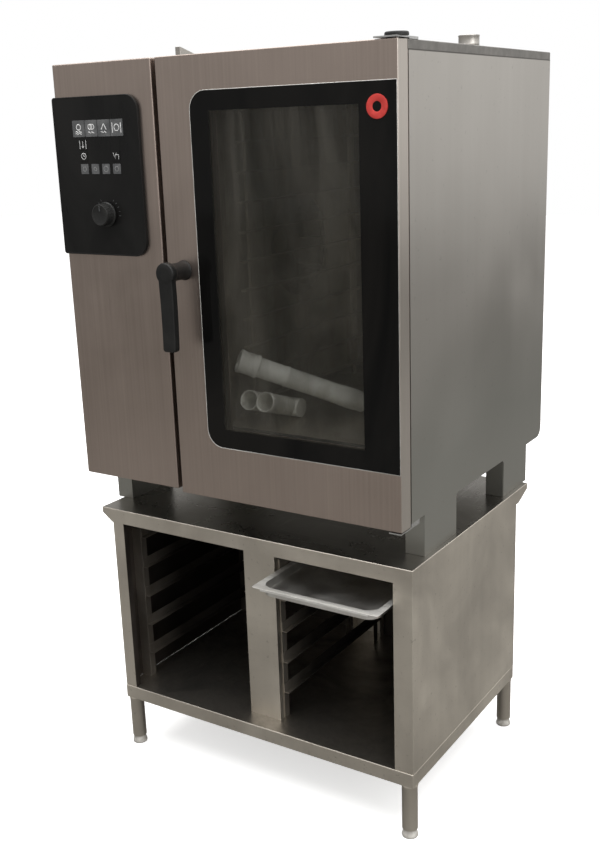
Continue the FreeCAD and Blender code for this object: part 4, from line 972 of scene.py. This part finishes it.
def stand_legs():
    """Round tube legs with a weld bead under the shelf, and flared feet."""
    for corner in ("front_left", "front_right", "rear_left", "rear_right"):
        low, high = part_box("stand_leg_" + corner)
        radius = (high.x - low.x) / 2
        middle = Vector(((low.x + high.x) / 2, (low.y + high.y) / 2, 0))
        leg = spun([
            (0, low.z), (radius - 0.8 * MM, low.z), (radius, low.z + 0.8 * MM), (radius, high.z - 6 * MM),
            (radius + 1.2 * MM, high.z - 4.2 * MM), (radius + 1.4 * MM, high.z - 2.0 * MM),
            (radius + 0.6 * MM, high.z), (0, high.z),
        ], middle, sides=40)
        smooth(leg, 40)
        finish_piece(leg, "leg_tube_" + corner, "cabinet", STAND_STEEL,
                     ("stand_leg_" + corner,))
        low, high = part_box("stand_foot_" + corner)
        foot = (high.x - low.x) / 2
        pad = spun([
            (0, 0), (foot - 4.6 * MM, 0), (foot - 3 * MM, 0.8 * MM), (foot - 2.4 * MM, 2.8 * MM),
            (foot - 2.6 * MM, 6 * MM), (foot - 3.6 * MM, 9 * MM), (foot - 4.6 * MM, 12 * MM),
            (foot - 5.2 * MM, high.z - 3 * MM), (foot - 5.2 * MM, high.z), (0, high.z),
        ], middle, sides=40)
        smooth(pad, 50)
        finish_piece(pad, "foot_pad_" + corner, "cabinet", FOOT_PLASTIC,
                     ("stand_foot_" + corner,))


def tray():
    """The shallow pressed tray, its rim rubbed bright, with a folded lip at the front."""
    low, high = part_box("tray")
    piece = merged_copy("tray")
    eased(piece, 0.4 * MM, 2, 40)
    beyond_runners = 24 * MM
    lip = open_block((low.x + beyond_runners, low.y + 0.3 * MM, high.z - 5.5 * MM),
                     (high.x - beyond_runners, low.y + 2.1 * MM, high.z - 0.5 * MM))
    bevel_edges(lip, lambda a, b: near(a.z, b.z), 0.5 * MM, 2)
    piece = joined([piece, lip])
    smooth(piece, 40)
    finish_piece(piece, "tray_pressed", "tray", TRAY_STEEL, ("tray",))
    other_finish(piece, RIM_STEEL, lambda at, way: at.z > high.z - 1.3 * MM
                 or (at.y < low.y + 3 * MM and at.z > high.z - 6 * MM))


# ---- stored drain pipes
def sticker(radius, from_end, wide, spread, roll, start, turn):
    """A blank label wrapped part of the way round a pipe."""
    steps = 12
    angles = [math.radians(roll + spread * (i / steps - 0.5)) for i in range(steps + 1)]
    points = [(radius * math.cos(t), radius * math.sin(t), from_end + h) for t in angles for h in (0, wide)]
    faces = [(2 * i, 2 * i + 2, 2 * i + 3, 2 * i + 1) for i in range(steps)]
    mesh = bpy.data.meshes.new("sticker")
    mesh.from_pydata(points, [], faces)
    piece = in_scene("sticker", mesh)
    piece.data.transform(Matrix.Translation(start) @ turn.to_4x4())
    apply_modifier(piece, "SOLIDIFY", thickness=0.2 * MM, offset=0)
    return piece


def drain_pipes():
    """The loose waste pipe with its couplings, and the socket pair beside it."""
    low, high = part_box("drain_kit_pipe")
    way = Vector((220, 186, -119)).normalized()
    collar = 27 * MM
    reach = Vector([collar * math.sqrt(1 - c * c) for c in way])
    start = Vector((low.x + reach.x, low.y + reach.y, high.z - reach.z))
    turn = way.to_track_quat("Z", "Y").to_matrix()
    pipe = 23 * MM
    inner = pipe - 2.5 * MM
    length = 311 * MM
    piece = spun([
        (inner, 0), (collar - 1 * MM, 0), (collar, 1 * MM), (collar, 8 * MM), (collar - 1.5 * MM, 10 * MM),
        (collar - 1.5 * MM, 40 * MM), (collar, 42 * MM), (collar, 46 * MM),
        (pipe + 0.5 * MM, 48 * MM), (pipe, 50 * MM),
        (pipe, 112 * MM), (pipe + 1.2 * MM, 114 * MM), (pipe + 1.2 * MM, 118 * MM), (pipe, 120 * MM),
        (pipe, length - 62 * MM), (pipe + 1.6 * MM, length - 60 * MM), (pipe + 1.6 * MM, length - 20 * MM),
        (pipe, length - 18 * MM), (pipe, length - 1 * MM), (pipe - 1 * MM, length),
        (inner, length), (inner, 0),
    ], start, turn, 56)
    smooth(piece, 40)
    finish_piece(piece, "waste_pipe", "cabinet", PIPE_GREY, ("drain_kit_pipe",))
    stickers = []
    for from_end, wide, spread, roll in ((132, 26, 70, -60), (168, 12, 44, -75), (214, 34, 84, -50)):
        stickers.append(sticker(pipe + 0.25 * MM, from_end * MM, wide * MM, spread, roll, start, turn))
    finish_piece(joined(stickers), "waste_pipe_labels", "cabinet", PLAIN_LABEL)
    low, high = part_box("drain_kit_elbow")
    way_in = Vector((0, 111, -37)).normalized()
    turn = way_in.to_track_quat("Z", "Y").to_matrix()
    long = 117 * MM
    sockets = []
    for x in (low.x + pipe, low.x + pipe + 43.5 * MM):
        front = Vector((x, high.y - pipe, low.z + pipe)) - way_in * long
        sockets.append(spun([
            (inner, 2 * MM), (pipe - 0.6 * MM, 0), (pipe, 1.2 * MM), (pipe, 12 * MM),
            (pipe - 1.2 * MM, 14 * MM), (pipe - 1.2 * MM, 84 * MM), (pipe - 4 * MM, long - 2 * MM),
            (0, long), (0, 86 * MM), (inner - 1 * MM, 84 * MM), (inner, 2 * MM),
        ], front, turn, 48))
    link = open_round(pipe - 1 * MM, high.x - low.x - 2 * MM,
                      ((low.x + high.x) / 2, high.y - pipe, low.z + pipe), 40, (0, math.radians(90), 0))
    bevel_edges(link, lambda a, b: near(a.x, b.x) and not near((a - b).length, 0), 1 * MM, 2)
    pair = joined(sockets + [link])
    smooth(pair, 40)
    finish_piece(pair, "waste_socket_pair", "cabinet", PIPE_GREY, ("drain_kit_elbow",))


# ---- nodes kept as they are
def kept_nodes():
    """CAD parts whose shape is right get their finish."""
    finishes = (
        (CHAMBER_STEEL, ("cavity", "air_baffle", "rack_left", "rack_right", "fan_wheel", "drain_pot")),
        (MACHINED_STEEL, ("dial_stem", "latch_cam", "latch_keeper", "hinge_block_upper", "hinge_block_lower")),
        (MINERAL_WOOL, ("insulation",)), (HEATER_ALLOY, ("heater_ring",)), (MOTOR_PAINT, ("fan_motor",)),
        (CIRCUIT_GREEN, ("control_board",)), (ROOF_STEEL, ("service_plate",)), (SEAL_RUBBER, ("door_seal",)),
    )
    for finish, nodes in finishes:
        for node in nodes:
            NODES[node].data.materials.clear()
            NODES[node].data.materials.append(finish)


# ---- room
def floor():
    """A wide pale floor."""
    leave_all()
    bpy.ops.mesh.primitive_plane_add(size=30, location=(0, 0, 0))
    sheet = bpy.context.active_object
    sheet.name = "floor"
    sheet.data.materials.append(floor_paint())


def lamp(name, place, aim, size, power, colour=(1, 1, 1)):
    """A soft square lamp pointed at a place."""
    light = bpy.data.lights.new(name, "AREA")
    light.shape = "RECTANGLE"
    light.size, light.size_y = size
    light.energy = power
    light.color = colour
    holder = in_scene(name, light)
    holder.location = place
    holder.rotation_euler = (Vector(aim) - Vector(place)).to_track_quat("-Z", "Y").to_euler()


def studio():
    """White surroundings for the view; softer light round the object, stronger from its right."""
    world = bpy.data.worlds.new("studio")
    bpy.context.scene.world = world
    bpy.context.scene.view_settings.view_transform = "Standard"
    world.use_nodes = True
    tree = world.node_tree
    around = tree.nodes["Background"]
    where = add_node(tree, "ShaderNodeTexCoord").outputs["Generated"]
    apart = add_node(tree, "ShaderNodeSeparateXYZ", {"Vector": where})
    side = ramp(tree, apart.outputs["X"], -1.0, 1.0, 0.34, 1.05)
    height = ramp(tree, apart.outputs["Z"], -0.2, 0.6, 0.88, 1.10)
    fill(tree, around, {"Color": (1.0, 0.99, 0.97, 1.0), "Strength": worked(tree, "MULTIPLY", side, height)})
    seen = add_node(tree, "ShaderNodeBackground", {"Color": (1, 1, 1, 1), "Strength": 1.0})
    path = add_node(tree, "ShaderNodeLightPath")
    chosen = add_node(tree, "ShaderNodeMixShader", {
        "Fac": path.outputs["Is Camera Ray"], 1: around.outputs["Background"],
        2: seen.outputs["Background"]})
    fill(tree, tree.nodes["World Output"], {"Surface": chosen.outputs["Shader"]})
    lamp("overhead", (0, 0, 5.0), (0, 0, 0), (7.0, 7.0), 420)
    lamp("key", (3.6, -1.4, 2.6), (0.2, 0, 1.0), (2.0, 2.5), 30)


def camera():
    """The view: from the front right, a little above the top."""
    yaw, pitch, roll = math.radians(33.14), math.radians(-15.53), math.radians(-2.0)
    ahead = Vector((-math.sin(yaw) * math.cos(pitch), math.cos(yaw) * math.cos(pitch), math.sin(pitch)))
    right = Vector((math.cos(yaw), math.sin(yaw), 0))
    up = right.cross(ahead)
    side = right * math.cos(roll) + up * math.sin(roll)
    above = up * math.cos(roll) - right * math.sin(roll)
    lens = bpy.data.cameras.new("camera")
    lens.lens = 45.902
    lens.sensor_width = 36
    holder = in_scene("camera", lens)
    turn = Matrix((side, above, -ahead)).transposed().to_4x4()
    holder.matrix_world = Matrix.Translation((1.4085, -2.2391, 1.5679)) @ turn
    bpy.context.scene.camera = holder


camera()
casing()
vent_stub()
vent_hood()
rear_fittings()
control_panel()
touch_fields()
dial()
dial_scale()
door_panels()
door_glass()
badge()
door_handle()
hinge_parts()
stand_sheets()
stand_legs()
tray()
drain_pipes()
kept_nodes()
floor()
studio()
